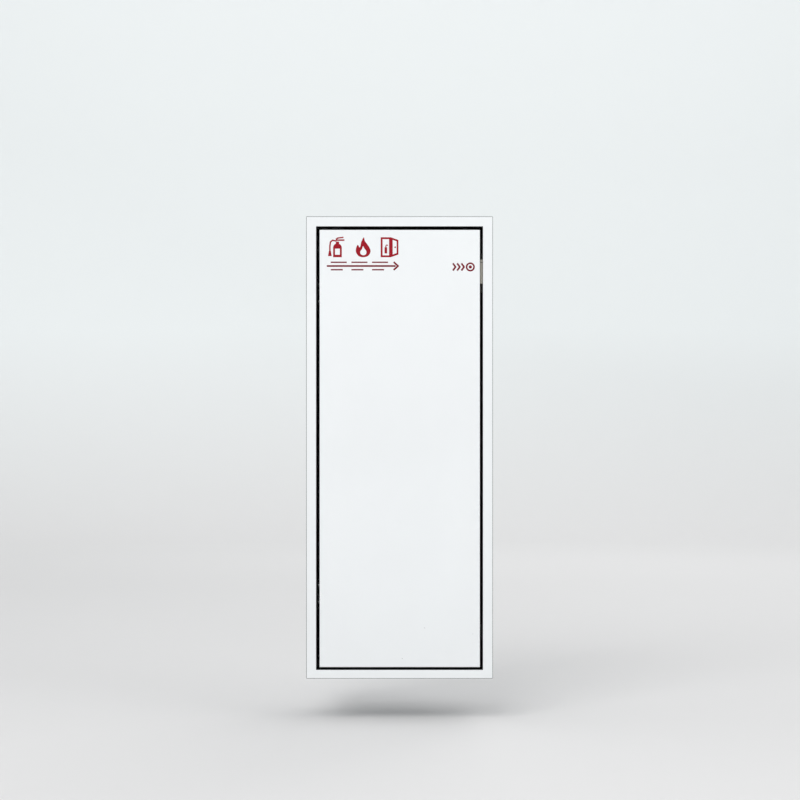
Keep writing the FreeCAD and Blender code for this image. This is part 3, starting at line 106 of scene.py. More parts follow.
class Finish:
    """A procedural material: one Principled shader and textures measured in the object's own metres."""

    def __init__(self, name, colour, **sockets):
        self.material = bpy.data.materials.new(name)
        self.material.use_nodes = True
        self.tree = self.material.node_tree
        self.shader = self.tree.nodes["Principled BSDF"]
        self.place = self.tree.nodes.new("ShaderNodeTexCoord").outputs["Object"]
        self.normal = None
        self.shader.inputs["Base Color"].default_value = (*colour, 1)
        for key, value in sockets.items():
            self.shader.inputs[SOCKET_NAMES.get(key, key.replace("_", " ").title())].default_value = value

    def node(self, kind, inputs, output, **settings):
        made = self.tree.nodes.new("ShaderNode" + kind)
        for key, value in settings.items():
            setattr(made, key, value)
        for key, value in inputs.items():
            if isinstance(value, bpy.types.NodeSocket):
                self.tree.links.new(value, made.inputs[key])
            else:
                made.inputs[key].default_value = value
        return made.outputs[output]

    def noise(self, scale, detail=2.0, stretch=(1, 1, 1)):
        """Soft clouds, with about scale lumps in a metre."""
        place = self.node("Mapping", {"Vector": self.place, "Scale": stretch}, "Vector")
        return self.node("TexNoise", {"Vector": place, "Scale": scale, "Detail": detail}, "Fac")

    def cells(self, scale):
        """Crystal cells of random shade."""
        bent = self.node("TexNoise", {"Vector": self.place, "Scale": scale * 0.6}, "Color")
        place = self.node("Mix", {4: self.place, 5: bent, 0: 0.006}, 1, data_type="VECTOR")
        return self.node("TexVoronoi", {"Vector": place, "Scale": scale}, "Color")

    def ramp(self, value, start, dark, end, light):
        made = self.tree.nodes.new("ShaderNodeValToRGB")
        self.tree.links.new(value, made.inputs["Fac"])
        low, high = made.color_ramp.elements
        low.position, high.position = start, end
        low.color, high.color = (*dark, 1), (*light, 1)
        return made.outputs["Color"]

    def spread(self, value, low, high, start=0.35, end=0.65):
        limits = {"From Min": start, "From Max": end, "To Min": low, "To Max": high}
        return self.node("MapRange", {"Value": value, **limits}, "Result")

    def colour(self, value, dark, light, start=0.35, end=0.65):
        self.tree.links.new(self.ramp(value, start, dark, end, light), self.shader.inputs["Base Color"])

    def rough(self, value, low, high):
        self.tree.links.new(self.spread(value, low, high), self.shader.inputs["Roughness"])

    def bump(self, height, depth):
        """Raises the surface by up to depth metres where height is 1."""
        inputs = {"Height": height, "Distance": depth, "Strength": 1.0}
        if self.normal:
            inputs["Normal"] = self.normal
        self.normal = self.node("Bump", inputs, "Normal")
        self.tree.links.new(self.normal, self.shader.inputs["Normal"])


def scaled(colour, factor):
    return tuple(min(1.0, channel * factor) for channel in colour)


def powder_coat(name, colour, peel=14e-6):
    finish = Finish(name, colour, coat_weight=0.2, coat_roughness=0.22)
    finish.colour(finish.noise(4, 3), scaled(colour, 0.97), colour)
    finish.rough(finish.noise(70), 0.34, 0.46)
    finish.bump(finish.noise(430, 1), peel)
    finish.bump(finish.noise(2300), 3e-6)
    return finish.material


def galvanised(name, colour):
    finish = Finish(name, colour, metallic=0.85)
    spangle = finish.cells(190)
    finish.colour(spangle, scaled(colour, 0.9), scaled(colour, 1.06), 0.25, 0.8)
    finish.rough(spangle, 0.38, 0.48)
    finish.bump(finish.noise(900, 3), 5e-6)
    finish.bump(finish.noise(260, 2, (1, 1, 0.05)), 4e-6)
    return finish.material


def plated(name, colour, low=0.2, high=0.38, grain=700, depth=3e-6, metallic=1.0):
    """Bright or dull metal with fine handling marks."""
    finish = Finish(name, colour, metallic=metallic)
    finish.colour(finish.noise(45, 4), scaled(colour, 0.86), scaled(colour, 1.06))
    finish.rough(finish.noise(120, 5), low, high)
    finish.bump(finish.noise(grain, 4), depth)
    return finish.material


def enamel(name, colour, peel=5e-6, low=0.22, high=0.32, coat=1.0):
    finish = Finish(name, colour, coat_weight=coat, coat_roughness=0.05)
    finish.colour(finish.noise(6, 3), scaled(colour, 0.9), scaled(colour, 1.04))
    finish.rough(finish.noise(35, 4), low, high)
    finish.bump(finish.noise(330, 1), peel)
    return finish.material


def moulded(name, colour, low=0.42, high=0.56, depth=6e-6):
    """Injection-moulded plastic with a fine eroded grain."""
    finish = Finish(name, colour, specular_ior_level=0.45)
    finish.colour(finish.noise(30, 3), scaled(colour, 0.93), scaled(colour, 1.05))
    finish.rough(finish.noise(90, 3), low, high)
    finish.bump(finish.noise(1500, 3), depth)
    return finish.material


def rubber(name, colour=(0.02, 0.021, 0.022)):
    finish = Finish(name, colour, specular_ior_level=0.35)
    finish.colour(finish.noise(80, 4), scaled(colour, 0.8), scaled(colour, 1.7))
    finish.rough(finish.noise(150, 3), 0.55, 0.78)
    finish.bump(finish.noise(1100, 4), 9e-6)
    return finish.material


def powder_heap(name, colour):
    finish = Finish(name, colour)
    finish.colour(finish.noise(300, 5), scaled(colour, 0.9), colour)
    finish.rough(finish.noise(500), 0.9, 1.0)
    finish.bump(finish.noise(700, 5), 60e-6)
    return finish.material


def glass(name):
    finish = Finish(name, (0.97, 0.98, 0.98), transmission_weight=1.0, ior=1.49)
    finish.rough(finish.noise(200, 4), 0.02, 0.05)
    finish.bump(finish.noise(160, 1), 1e-6)
    return finish.material


def ink(name, colour):
    finish = Finish(name, colour, specular_ior_level=0.2)
    finish.colour(finish.noise(160, 3), scaled(colour, 0.97), scaled(colour, 1.02))
    finish.rough(finish.noise(400), 0.4, 0.55)
    finish.bump(finish.noise(1700), 4e-6)
    return finish.material


WHITE = (0.870, 0.885, 0.894)

# One finish for each material slot in the record.
FINISHES = {
    "frame_paint": powder_coat("frame_paint_coat", WHITE),
    "door_paint": powder_coat("door_paint_coat", WHITE),
    "box_steel": galvanised("galvanised_sheet", (0.60, 0.62, 0.635)),
    "zinc_steel": plated("zinc_plate", (0.72, 0.74, 0.75)),
    "latch_plastic": moulded("latch_moulding", (0.30, 0.285, 0.245)),
    "plunger_plastic": moulded("plunger_moulding", (0.045, 0.046, 0.05)),
    "magnet_ferrite": plated("ferrite", (0.05, 0.05, 0.055), 0.5, 0.7, 1500, 12e-6, 0.2),
    "buffer_rubber": rubber("buffer_rubber_black"),
    "bottle_paint": enamel("red_enamel", (0.56, 0.009, 0.012)),
    "boot_plastic": moulded("boot_moulding", (0.03, 0.031, 0.034)),
    "powder": powder_heap("dry_powder", (0.84, 0.70, 0.68)),
    "tube_metal": plated("drawn_aluminium", (0.78, 0.79, 0.80), 0.24, 0.4),
    "valve_metal": plated("cast_brass_nickel", (0.66, 0.65, 0.62), 0.3, 0.48, 900, 9e-6),
    "cap_metal": plated("turned_nickel", (0.70, 0.69, 0.66), 0.18, 0.32),
    "seal_rubber": rubber("seal_rubber_black"),
    "grip_paint": enamel("black_satin", (0.018, 0.018, 0.02), 6e-6, 0.34, 0.46, 0.3),
    "pin_yellow": moulded("yellow_moulding", (0.82, 0.56, 0.02), 0.3, 0.42, 3e-6),
    "gauge_chrome": plated("chrome", (0.80, 0.81, 0.82), 0.07, 0.16, 500, 1e-6),
    "gauge_face": ink("dial_white", (0.86, 0.87, 0.86)),
    "needle_paint": ink("needle_black", (0.02, 0.02, 0.022)),
    "gauge_glass": glass("lens"),
    "tube_brass": plated("brass", (0.76, 0.56, 0.27), 0.22, 0.36),
    "hose_rubber": rubber("hose_rubber_black", (0.024, 0.024, 0.026)),
    "nozzle_plastic": moulded("nozzle_moulding", (0.028, 0.028, 0.03), 0.36, 0.5),
    "spring_steel": plated("spring_wire", (0.55, 0.55, 0.56), 0.22, 0.36),
    # Black enamel of the hinge arms and stop brackets; the black also serves as painted shade in the gap
    # beside the door.
    "bracket_paint": enamel("bracket_black_gap_shade", (0.014, 0.014, 0.015), 6e-6, 0.4, 0.55, 0.15),
}

# Finishes of what is only made here.
INK_RED = ink("ink_red", (0.32, 0.003, 0.013))
INK_DARK_RED = ink("ink_dark_red", (0.19, 0.004, 0.014))
INK_BLACK = ink("ink_black", (0.02, 0.02, 0.022))
INK_WHITE = ink("label_film", (0.84, 0.85, 0.85))
INK_YELLOW = ink("ink_yellow", (0.86, 0.60, 0.02))
INK_BLUE = ink("ink_blue", (0.03, 0.14, 0.46))
INK_GREEN = ink("ink_green", (0.03, 0.36, 0.10))
# Grey of the bead round the frame's outer edge: painted shadow where the frame meets the wall.
EDGE_SHADOW_LINE = moulded("edge_shadow_line_grey", (0.16, 0.165, 0.165), 0.5, 0.7)
# Near-black strip in the door's gap: painted shade.
GAP_SHADE_STRIP = rubber("gap_shade_strip", (0.012, 0.012, 0.013))
WELD_TINT = plated("weld_tint", (0.36, 0.36, 0.37), 0.4, 0.6)
SPECK = ink("speck_grey", (0.52, 0.53, 0.53))


# ---- the CAD parts: finish and softened edges ----

WELD_DISTANCE = 2e-6
SHARP_ANGLE = math.radians(32)
FLAT_ANGLE = math.radians(0.3)
EDGE_WIDTH = 0.25 * MM
WIDER_EDGES = {"latch_housing": 0.6 * MM}


def weld_group():
    """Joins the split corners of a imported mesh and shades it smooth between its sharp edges."""
    group = bpy.data.node_groups.new("weld_and_shade", "GeometryNodeTree")
    for way in ("INPUT", "OUTPUT"):
        group.interface.new_socket("Geometry", in_out=way, socket_type="NodeSocketGeometry")
    start, end = group.nodes.new("NodeGroupInput"), group.nodes.new("NodeGroupOutput")
    weld = group.nodes.new("GeometryNodeMergeByDistance")
    weld.inputs["Distance"].default_value = WELD_DISTANCE
    angle = group.nodes.new("GeometryNodeInputMeshEdgeAngle")
    sharp = group.nodes.new("FunctionNodeCompare")
    sharp.inputs[1].default_value = SHARP_ANGLE
    shade = group.nodes.new("GeometryNodeSetMeshNormal")
    shade.mode = "SHARPNESS"
    smooth = group.nodes.new("GeometryNodeSetShadeSmooth")
    links = group.links
    links.new(start.outputs[0], weld.inputs["Geometry"])
    links.new(weld.outputs["Geometry"], smooth.inputs["Geometry"])
    links.new(smooth.outputs["Geometry"], shade.inputs["Mesh"])
    links.new(angle.outputs["Unsigned Angle"], sharp.inputs[0])
    links.new(sharp.outputs["Result"], shade.inputs["Edge Sharpness"])
    links.new(shade.outputs["Mesh"], end.inputs[0])
    return group


def finish_cad_nodes():
    """Gives each CAD node its finish, merges the slivers of its flat faces and softens its edges."""
    group = weld_group()
    slots = {row["node"]: row["material_slot"] for row in frame["record"]["subparts"]}
    for name, thing in NODES.items():
        for index in range(len(thing.material_slots)):
            thing.material_slots[index].link = "OBJECT"
            thing.material_slots[index].material = FINISHES[slots[name]]
        thing.modifiers.new("weld", "NODES").node_group = group
        flat = thing.modifiers.new("flat", "DECIMATE")
        flat.decimate_type = "DISSOLVE"
        flat.angle_limit = FLAT_ANGLE
        bevel = thing.modifiers.new("edges", "BEVEL")
        bevel.limit_method = "ANGLE"
        bevel.angle_limit = SHARP_ANGLE
        bevel.width = WIDER_EDGES.get(name, EDGE_WIDTH)
        bevel.segments = 2
        bevel.harden_normals = True


# ---- outlines and printed shapes ----


def box_outline(left, low, right, high, radius=0.0, steps=5):
    if not radius:
        return [(left, low), (right, low), (right, high), (left, high)]
    corners = [
        (right - radius, low + radius, -90),
        (right - radius, high - radius, 0),
        (left + radius, high - radius, 90),
        (left + radius, low + radius, 180),
    ]
    points = []
    for x, y, start in corners:
        for step in range(steps + 1):
            angle = math.radians(start + 90 * step / steps)
            points.append((x + radius * math.cos(angle), y + radius * math.sin(angle)))
    return points


def disc(x, y, radius, steps=40):
    turns = [2 * math.pi * step / steps for step in range(steps)]
    return [(x + radius * math.cos(turn), y + radius * math.sin(turn)) for turn in turns]


def sector(x, y, inner, outer, start, end, steps=24):
    """Part of a ring between two angles in degrees."""
    turns = [math.radians(start + (end - start) * step / steps) for step in range(steps + 1)]
    out = [(x + outer * math.cos(turn), y + outer * math.sin(turn)) for turn in turns]
    back = [(x + inner * math.cos(turn), y + inner * math.sin(turn)) for turn in reversed(turns)]
    return out + back


def rounded(points, steps=5):
    """A smooth closed line through the points."""
    line = []
    count = len(points)
    for index in range(count):
        before, start, end, after = (Vector(points[(index + k - 1) % count]) for k in range(4))
        for step in range(steps):
            t = step / steps
            curve = start * 2 + (end - before) * t
            curve += (before * 2 - start * 5 + end * 4 - after) * t**2
            curve += (start * 3 - before - end * 3 + after) * t**3
            line.append(tuple(curve / 2))
    return line


def inked(*outlines):
    return [(True, outline) for outline in outlines]


def bare(*outlines):
    return [(False, outline) for outline in outlines]


def stroke(points, width):
    """The shapes of a line with square ends and round joints."""
    shapes = []
    half = width / 2
    for start, end in zip(points, points[1:]):
        along = (Vector(end) - Vector(start)).normalized() * half
        side = Vector((-along.y, along.x))
        a, b = Vector(start), Vector(end)
        shapes += inked([tuple(a - side), tuple(b - side), tuple(b + side), tuple(a + side)])
    for joint in points[1:-1]:
        shapes += inked(disc(*joint, half, 16))
    return shapes


def moved(shapes, x, y, size=1.0):
    return [(kind, [(x + px * size, y + py * size) for px, py in outline]) for kind, outline in shapes]


def filled(shapes, columns=()):
    """Triangles of the inked area. Where shapes overlap, the later one counts.

    Columns are upright lines at which the area is split, so that it can bend round a bottle."""
    points, faces, edges = [], [], []
    for _, outline in shapes:
        area = sum(a[0] * b[1] - b[0] * a[1] for a, b in zip(outline, outline[1:] + outline[:1]))
        ordered = outline if area > 0 else outline[::-1]
        faces.append(list(range(len(points), len(points) + len(ordered))))
        points += [Vector(point) for point in ordered]
    low = min(point.y for point in points) - 1
    high = max(point.y for point in points) + 1
    for column in columns:
        edges.append((len(points), len(points) + 1))
        points += [Vector((column, low)), Vector((column, high))]
    corners, _, triangles, _, _, sources = delaunay_2d_cdt(points, edges, faces, 0, 1e-5)
    kept = [face for face, source in zip(triangles, sources) if source and shapes[max(source)][0]]
    return corners, kept


def join_rings(work, rings, closed=False):
    """Faces from each ring of vertices to the next, and with closed from the last to the first as well."""
    following = rings[1:] + rings[:1] if closed else rings[1:]
    for before, after in zip(rings, following):
        for side in range(len(before)):
            other = (side + 1) % len(before)
            work.faces.new([before[side], before[other], after[other], after[side]])


def new_piece(name, mesh_maker, material, body, smooth=False):
    """A piece whose mesh a bmesh function makes in place, in metres."""
    work = bmesh.new()
    mesh_maker(work)
    bmesh.ops.remove_doubles(work, verts=work.verts, dist=1e-7)
    bmesh.ops.recalc_face_normals(work, faces=work.faces)
    mesh = bpy.data.meshes.new(name)
    work.to_mesh(mesh)
    work.free()
    mesh.materials.append(material)
    if smooth:
        mesh.shade_smooth()
    piece = bpy.data.objects.new(name, mesh)
    bpy.context.scene.collection.objects.link(piece)
    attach(piece, body)
    return piece


def print_on(name, shapes, place, heights, material, body, columns=()):
    """A thin closed film of ink. Place turns across, up and height, in mm, into a point in metres."""
    corners, faces = filled(shapes, columns)

    def make(work):
        sheets = []
        for height in heights:
            sheets.append([work.verts.new(place(corner.x, corner.y, height)) for corner in corners])
        sides = {}
        for face in faces:
            work.faces.new([sheets[1][index] for index in face])
            work.faces.new([sheets[0][index] for index in reversed(face)])
            for a, b in zip(face, face[1:] + face[:1]):
                if sides.pop((b, a), None) is None:
                    sides[(a, b)] = True
        for a, b in sides:
            work.faces.new([sheets[0][a], sheets[0][b], sheets[1][b], sheets[1][a]])
        loose = [vert for vert in work.verts if not vert.link_faces]
        bmesh.ops.delete(work, geom=loose, context="VERTS")

    new_piece(name, make, material, body)


# ---- generic pictograms, each drawn in a square of 31 mm ----


def extinguisher_mark():
    body = [(9.5, 0.5), (22.5, 0.5), (22.5, 15.5), (21.6, 18.2), (19.6, 20.2), (18.4, 20.8), (18.4, 24)]
    body += [(13.6, 24), (13.6, 20.8), (12.4, 20.2), (10.4, 18.2), (9.5, 15.5)]
    shapes = inked(body) + bare(box_outline(12.3, 4.2, 19.7, 13.4))
    shapes += stroke([(13.6, 26.2), (26.5, 26.2)], 2.2)
    shapes += stroke([(13.6, 27.4), (16.5, 29.3), (25, 30.4)], 2.0)
    shapes += stroke([(14.4, 24.8), (8.6, 26), (5.4, 23.2), (4.6, 17), (4.6, 9.6)], 2.2)
    return shapes + inked([(3.2, 10), (6.0, 10), (7.4, 2.2), (1.8, 2.2)])


def flame_mark():
    outer = [(15.5, 0.5), (9, 2), (4.9, 7), (4.4, 13), (7, 19.2), (9.6, 15.4), (11.2, 17.4), (12.4, 23.4)]
    outer += [(16.2, 30.4), (17.8, 24.8), (21.4, 20), (25.2, 14), (26.2, 8.2), (22.4, 2.4)]
    inner = [(15.6, 3.4), (11.6, 5.2), (10.9, 9.2), (13.4, 12.8), (15, 17)]
    inner += [(17.2, 13.4), (19.9, 9.8), (19.6, 5.4)]
    return inked(rounded(outer)) + bare(rounded(inner))


def cabinet_mark():
    shapes = inked(box_outline(2.2, 0.5, 17.6, 30.5)) + bare(box_outline(5, 3.3, 14.8, 27.7))
    shapes += inked(box_outline(8, 6.2, 11.8, 15.4), box_outline(9.1, 15.2, 10.7, 18))
    shapes += stroke([(9.9, 18.6), (13, 18.6)], 1.6)
    shapes += inked([(17.4, 30.5), (17.4, 0.5), (28.8, 4.6), (28.8, 26.4)])
    shapes += bare([(20.2, 26.6), (20.2, 4.6), (26.2, 6.8), (26.2, 24.4)])
    return shapes + inked(disc(24, 15.5, 1.2, 20))


MARKS = (extinguisher_mark, flame_mark, cabinet_mark)


# ---- print on the door, in mm ----

# How far the back and the front of a film stand proud of the surface.
INK_HEIGHTS = (-0.02, 0.07)
SPECK_HEIGHTS = (-0.02, 0.05)
PRINT_MARGIN = 10.9
DOOR_LOW, DOOR_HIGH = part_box("door_panel")


def on_door(x, z, height):
    """The point that is x across, z up and height in front of the door's face."""
    return Vector((x * MM, DOOR_LOW.y - height * MM, z * MM))


def print_door():
    left = DOOR_LOW.x / MM + PRINT_MARGIN
    right, top = DOOR_HIGH.x / MM, DOOR_HIGH.z / MM
    print_mark_row(left, foot=top - 41.7, pitch=39.4)
    print_arrow_row(left, middle=top - 54.4, length=108.5)
    print_press_mark(x=right - 14.4, z=top - 55.8)


def print_mark_row(left, foot, pitch):
    """The three pictograms side by side."""
    marks = []
    for index, mark in enumerate(MARKS):
        marks += moved(mark(), left + pitch * index, foot)
    print_on("door_mark_row", marks, on_door, INK_HEIGHTS, INK_RED, "door")


def print_arrow_row(start, middle, length):
    """A long arrow between two rows of dashes."""
    end = start + length
    line, head, head_length = 2.6, 6, 8
    dash, gap, pitch, upper, lower = 2.0, 5.6, 31, 24, 18
    arrow = stroke([(start, middle), (end - 5, middle)], line)
    neck, tip = end - head_length, end - 1.4
    arrow += stroke([(neck, middle + head), (tip, middle), (neck, middle - head)], line)
    for step in range(3):
        across = start + 6 + pitch * step
        arrow += stroke([(across, middle + gap), (across + upper, middle + gap)], dash)
        arrow += stroke([(across, middle - gap), (across + lower, middle - gap)], dash)
    print_on("door_arrow_row", arrow, on_door, INK_HEIGHTS, INK_DARK_RED, "door")


def print_press_mark(x, z):
    """A ring with a dot, and three chevrons that point at it."""
    ring_outer, ring_inner, dot = 6.8, 4.4, 2.4
    line, reach, half, pitch, first = 2.6, 4, 5.4, 6.4, 9.4
    press = inked(disc(x, z, ring_outer)) + bare(disc(x, z, ring_inner)) + inked(disc(x, z, dot, 24))
    for step in range(3):
        tip = x - first - step * pitch
        press += stroke([(tip - reach, z + half), (tip, z), (tip - reach, z - half)], line)
    print_on("door_press_mark", press, on_door, INK_HEIGHTS, INK_DARK_RED, "door")


def add_specks():
    """The three small marks in the coat near the foot of the door, placed by shares of its size."""
    size_x, size_z = DOOR_HIGH.x - DOOR_LOW.x, DOOR_HIGH.z - DOOR_LOW.z
    specks = []
    for across, up, size in ((0.655, 0.090, 0.55), (0.955, 0.076, 0.4), (0.515, 0.020, 0.6)):
        x = (DOOR_LOW.x + size_x * across) / MM
        z = (DOOR_LOW.z + size_z * up) / MM
        specks += inked(disc(x, z, size, 12), disc(x + size, z - size * 0.6, size * 0.6, 12))
    print_on("door_specks", specks, on_door, SPECK_HEIGHTS, SPECK, "door")


# ---- label round the bottle, in mm ----

LABEL_HALF = 66.0  # half of its width
LABEL_TALL = 190.0
LABEL_ABOVE_BAND = 7
LABEL_MARGIN = 4
LABEL_STEP = 3.0
FILM_HEIGHTS = (-0.03, 0.08)
LABEL_INK_HEIGHTS = (0.06, 0.13)


def wrap_label():
    low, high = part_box("bottle")
    centre = (low + high) / 2
    radius = (high.x - low.x) / 2
    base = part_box("clip_band")[1].z + LABEL_ABOVE_BAND * MM
    count = int(LABEL_HALF / LABEL_STEP) + 1
    columns = [LABEL_STEP * step for step in range(-count, count + 1)]

    def on_bottle(across, up, height):
        turn = across * MM / radius
        reach = radius + height * MM
        x, y = centre.x + reach * math.sin(turn), centre.y - reach * math.cos(turn)
        return Vector((x, y, base + up * MM))

    def layer(name, shapes, material, heights=LABEL_INK_HEIGHTS):
        print_on(name, shapes, on_bottle, heights, material, "extinguisher", columns)

    sheet = inked(box_outline(-LABEL_HALF, 0, LABEL_HALF, LABEL_TALL, 5))
    layer("label_film", sheet, INK_WHITE, FILM_HEIGHTS)
    layer("label_red", label_bands(), INK_RED)
    layer("label_black", label_steps() + label_lines(), INK_BLACK)

    up, pitch, outer, inner = 61, 40, 15, 13.8
    layer("label_yellow", inked(disc(0, up, outer)), INK_YELLOW)
    layer("label_blue", inked(disc(pitch, up, outer)), INK_BLUE)
    layer("label_ring", inked(disc(-pitch, up, outer)) + bare(disc(-pitch, up, inner)), INK_BLACK)


def label_bands():
    """A broad band with the three pictograms left bare, and a narrow one at the foot."""
    edge = LABEL_HALF - LABEL_MARGIN
    low, high, foot = LABEL_TALL - 42, LABEL_TALL - LABEL_MARGIN, LABEL_MARGIN
    first, pitch, size = -54, 40, 0.9
    bands = inked(box_outline(-edge, low, edge, high, 3))
    for index, mark in enumerate(MARKS):
        shapes = moved(mark(), first + pitch * index, low + 5, size)
        bands += [(not kind, outline) for kind, outline in shapes]
    return bands + inked(box_outline(-edge, foot, edge, foot + 3))


def label_steps():
    """Three frames, numbered by dots, that show how to use the extinguisher."""
    wide, pitch, low, high, line = 39.6, 42.2, 84, 148, 1
    steps = []
    for index, mark in enumerate(STEP_MARKS):
        left = -LABEL_HALF + LABEL_MARGIN + index * pitch
        steps += inked(box_outline(left, low, left + wide, high, 2))
        steps += bare(box_outline(left + line, low + line, left + wide - line, high - line, 1.4))
        steps += moved(mark(), left + 4, low + 8)
        for dot in range(index + 1):
            steps += inked(disc(left + 6 + dot * 5, high - 7, 1.6, 16))
    return steps


def label_lines():
    """Four plain lines in the place of small print."""
    left, right, thick = -LABEL_HALF + 6, LABEL_HALF - 6, 1.3
    highest, pitch, shortened = 34, 6, 22
    lines = []
    for row in range(4):
        up = highest - row * pitch
        lines += inked(box_outline(left, up, right - shortened * (row % 2), up + thick))
    return lines


def pull_pin_mark():
    shapes = inked(disc(24, 36, 7)) + bare(disc(24, 36, 4.6))
    shapes += stroke([(18, 32), (6, 24)], 2)
    return shapes + stroke([(6, 8), (20, 16), (15, 16.6)], 2)


def aim_hose_mark():
    shapes = stroke([(3, 36), (10, 40), (17, 36), (20, 28)], 2.6)
    shapes += inked([(18, 28), (22, 29), (25, 18), (19, 16)])
    return shapes + moved(flame_mark(), 4, 0, 0.5)


def squeeze_mark():
    shapes = stroke([(4, 30), (26, 36)], 2.6) + stroke([(4, 20), (26, 20)], 2.6)
    shapes += stroke([(15, 46), (15, 38)], 2) + stroke([(11, 42), (15, 38), (19, 42)], 2)
    return shapes + stroke([(15, 6), (15, 15)], 2) + stroke([(11, 11), (15, 15), (19, 11)], 2)


STEP_MARKS = (pull_pin_mark, aim_hose_mark, squeeze_mark)


# ---- gauge dial, in mm and degrees ----

DIAL_HEIGHTS = (-0.02, 0.04)
DIAL_BAND = (10.5, 13.6)
DIAL_TICK = (7.8, 9.8)
TICK_WIDTH = 0.6
OVERCHARGED = (-45, 60)
READY = (62, 118)
EMPTY = (120, 225)


def print_dial():
    low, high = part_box("gauge_dial")
    centre = (low + high) / 2 / MM
    middle = (centre.x, centre.z)

    def on_dial(x, z, height):
        return Vector((x * MM, low.y - height * MM, z * MM))

    def layer(name, shapes, material):
        print_on(name, shapes, on_dial, DIAL_HEIGHTS, material, "extinguisher")

    layer("dial_green", inked(sector(*middle, *DIAL_BAND, *READY)), INK_GREEN)
    reds = [sector(*middle, *DIAL_BAND, *part) for part in (EMPTY, OVERCHARGED)]
    layer("dial_red", inked(*reds), INK_RED)
    ticks = []
    for degrees in range(OVERCHARGED[0], EMPTY[1] + 1, 30):
        turn = math.radians(degrees)
        across, up = math.cos(turn), math.sin(turn)
        ends = [(centre.x + across * reach, centre.z + up * reach) for reach in DIAL_TICK]
        ticks += stroke(ends, TICK_WIDTH)
    layer("dial_ticks", ticks, INK_BLACK)


# ---- springs ----


def wind_spring(name, body, turns, wire_radius, upright):
    """A lighter spring in the place of a packed one: a round wire wound between the node's ends."""
    low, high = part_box(name)
    centre = (low + high) / 2
    radius = (high.x - low.x) / 2 - wire_radius
    length = high.z - low.z if upright else high.y - low.y
    start = (low.z if upright else low.y) + wire_radius
    rise = length - wire_radius * 2
    steps = turns * 24
    sides = 10

    def make(work):
        rings = []
        for step in range(steps + 1):
            turn = 2 * math.pi * turns * step / steps
            up = start + rise * step / steps
            ring = []
            for side in range(sides):
                around = 2 * math.pi * side / sides
                reach = radius + wire_radius * math.cos(around)
                height = up + wire_radius * math.sin(around)
                across, along = reach * math.cos(turn), reach * math.sin(turn)
                if upright:
                    point = (centre.x + across, centre.y + along, height)
                else:
                    point = (centre.x + across, height, centre.z + along)
                ring.append(work.verts.new(point))
            rings.append(ring)
        join_rings(work, rings)
        work.faces.new(rings[0][::-1])
        work.faces.new(rings[-1])

    spring = new_piece(name + "_wire", make, FINISHES["spring_steel"], body, smooth=True)
    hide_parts(name)
    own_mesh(spring)


# ---- small round reliefs on the cabinet ----

# Each profile is a row of (distance from the middle, height), in mm.
WELD_PROFILE = [(0.0, 0.03), (1.7, 0.05), (2.2, 0.3), (2.8, 0.3), (3.4, -0.05)]
RIVET_PROFILE = [(0.0, 1.6), (0.6, 1.55), (1.3, 1.35), (1.9, 0.9), (2.2, 0.4), (2.2, -0.3)]


def add_reliefs(name, places, profile, material, sides=20):
    """One piece with a round relief at each place, which is a point in metres and a normal."""

    def make(work):
        for place, way in places:
            normal = Vector(way)
            up = Vector((0, 0, 1))
            across = up.cross(normal)
            rings = []
            for reach, height in profile:
                ring = []
                for side in range(sides):
                    turn = 2 * math.pi * side / sides
                    out = across * math.cos(turn) + up * math.sin(turn)
                    ring.append(work.verts.new(Vector(place) + out * reach * MM + normal * height * MM))
                rings.append(ring)
            join_rings(work, rings)
            work.faces.new(rings[-1][::-1])

    new_piece(name, make, material, "cabinet", smooth=True)


def spaced(first, pitch, count):
    """Evenly spaced places, given in mm."""
    return [(first + pitch * step) * MM for step in range(count)]


def add_weld_marks():
    """The shallow rings that spot welding leaves along the folded flanges."""
    low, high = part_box("box_wrap")
    from_end, from_front = 7.5 * MM, 16 * MM
    spots = []
    for height in (low.z + from_end, high.z - from_end):
        spots += [(depth, height) for depth in spaced(42, 29, 6)]
    spots += [(from_front, height) for height in spaced(35, 48, 14)]
    places = []
    for depth, height in spots:
        places.append(((low.x, depth, height), (-1, 0, 0)))
        places.append(((high.x, depth, height), (1, 0, 0)))
    for height in (low.z + from_end, high.z - from_end):
        for across in spaced(-105, 35, 7):
            places.append(((across, high.y, height), (0, 1, 0)))
    add_reliefs("weld_marks", places, WELD_PROFILE, WELD_TINT)


def add_hinge_rivets():
    """A domed rivet on each hinge arm's side plate, which glints in the gap beside the door."""
    plate, set_back, off_middle = 3.2 * MM, 40 * MM, 3.4 * MM
    places = []
    for name, way in (("upper_hinge_arm", 1), ("lower_hinge_arm", -1)):
        low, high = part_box(name)
        height = (low.z + high.z) / 2 + way * off_middle
        places.append(((low.x + plate, set_back, height), (1, 0, 0)))
    add_reliefs("hinge_rivets", places, RIVET_PROFILE, FINISHES["zinc_steel"])


# ---- what runs round the frame and the bottle ----


def around_frame(x, z, depth):
    """The point that is x across, z up and depth behind the wall's face."""
    return Vector((x * MM, depth * MM, z * MM))


def add_edge_shadow_line():
    """A thin grey bead round the frame's outer edge: painted shadow, for the dark contact line between the
    frame and the wall.
    """
    low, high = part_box("front_frame")
    proud, inset, rounding = 0.32, 0.36, 1.2
    back, front = 0.3, low.y / MM - 0.06
    left, bottom, right, top = low.x / MM, low.z / MM, high.x / MM, high.z / MM
    shapes = inked(box_outline(left - proud, bottom - proud, right + proud, top + proud, rounding))
    shapes += bare(box_outline(left + inset, bottom + inset, right - inset, top - inset))
    print_on("edge_shadow_line", shapes, around_frame, (back, front), EDGE_SHADOW_LINE, "cabinet")


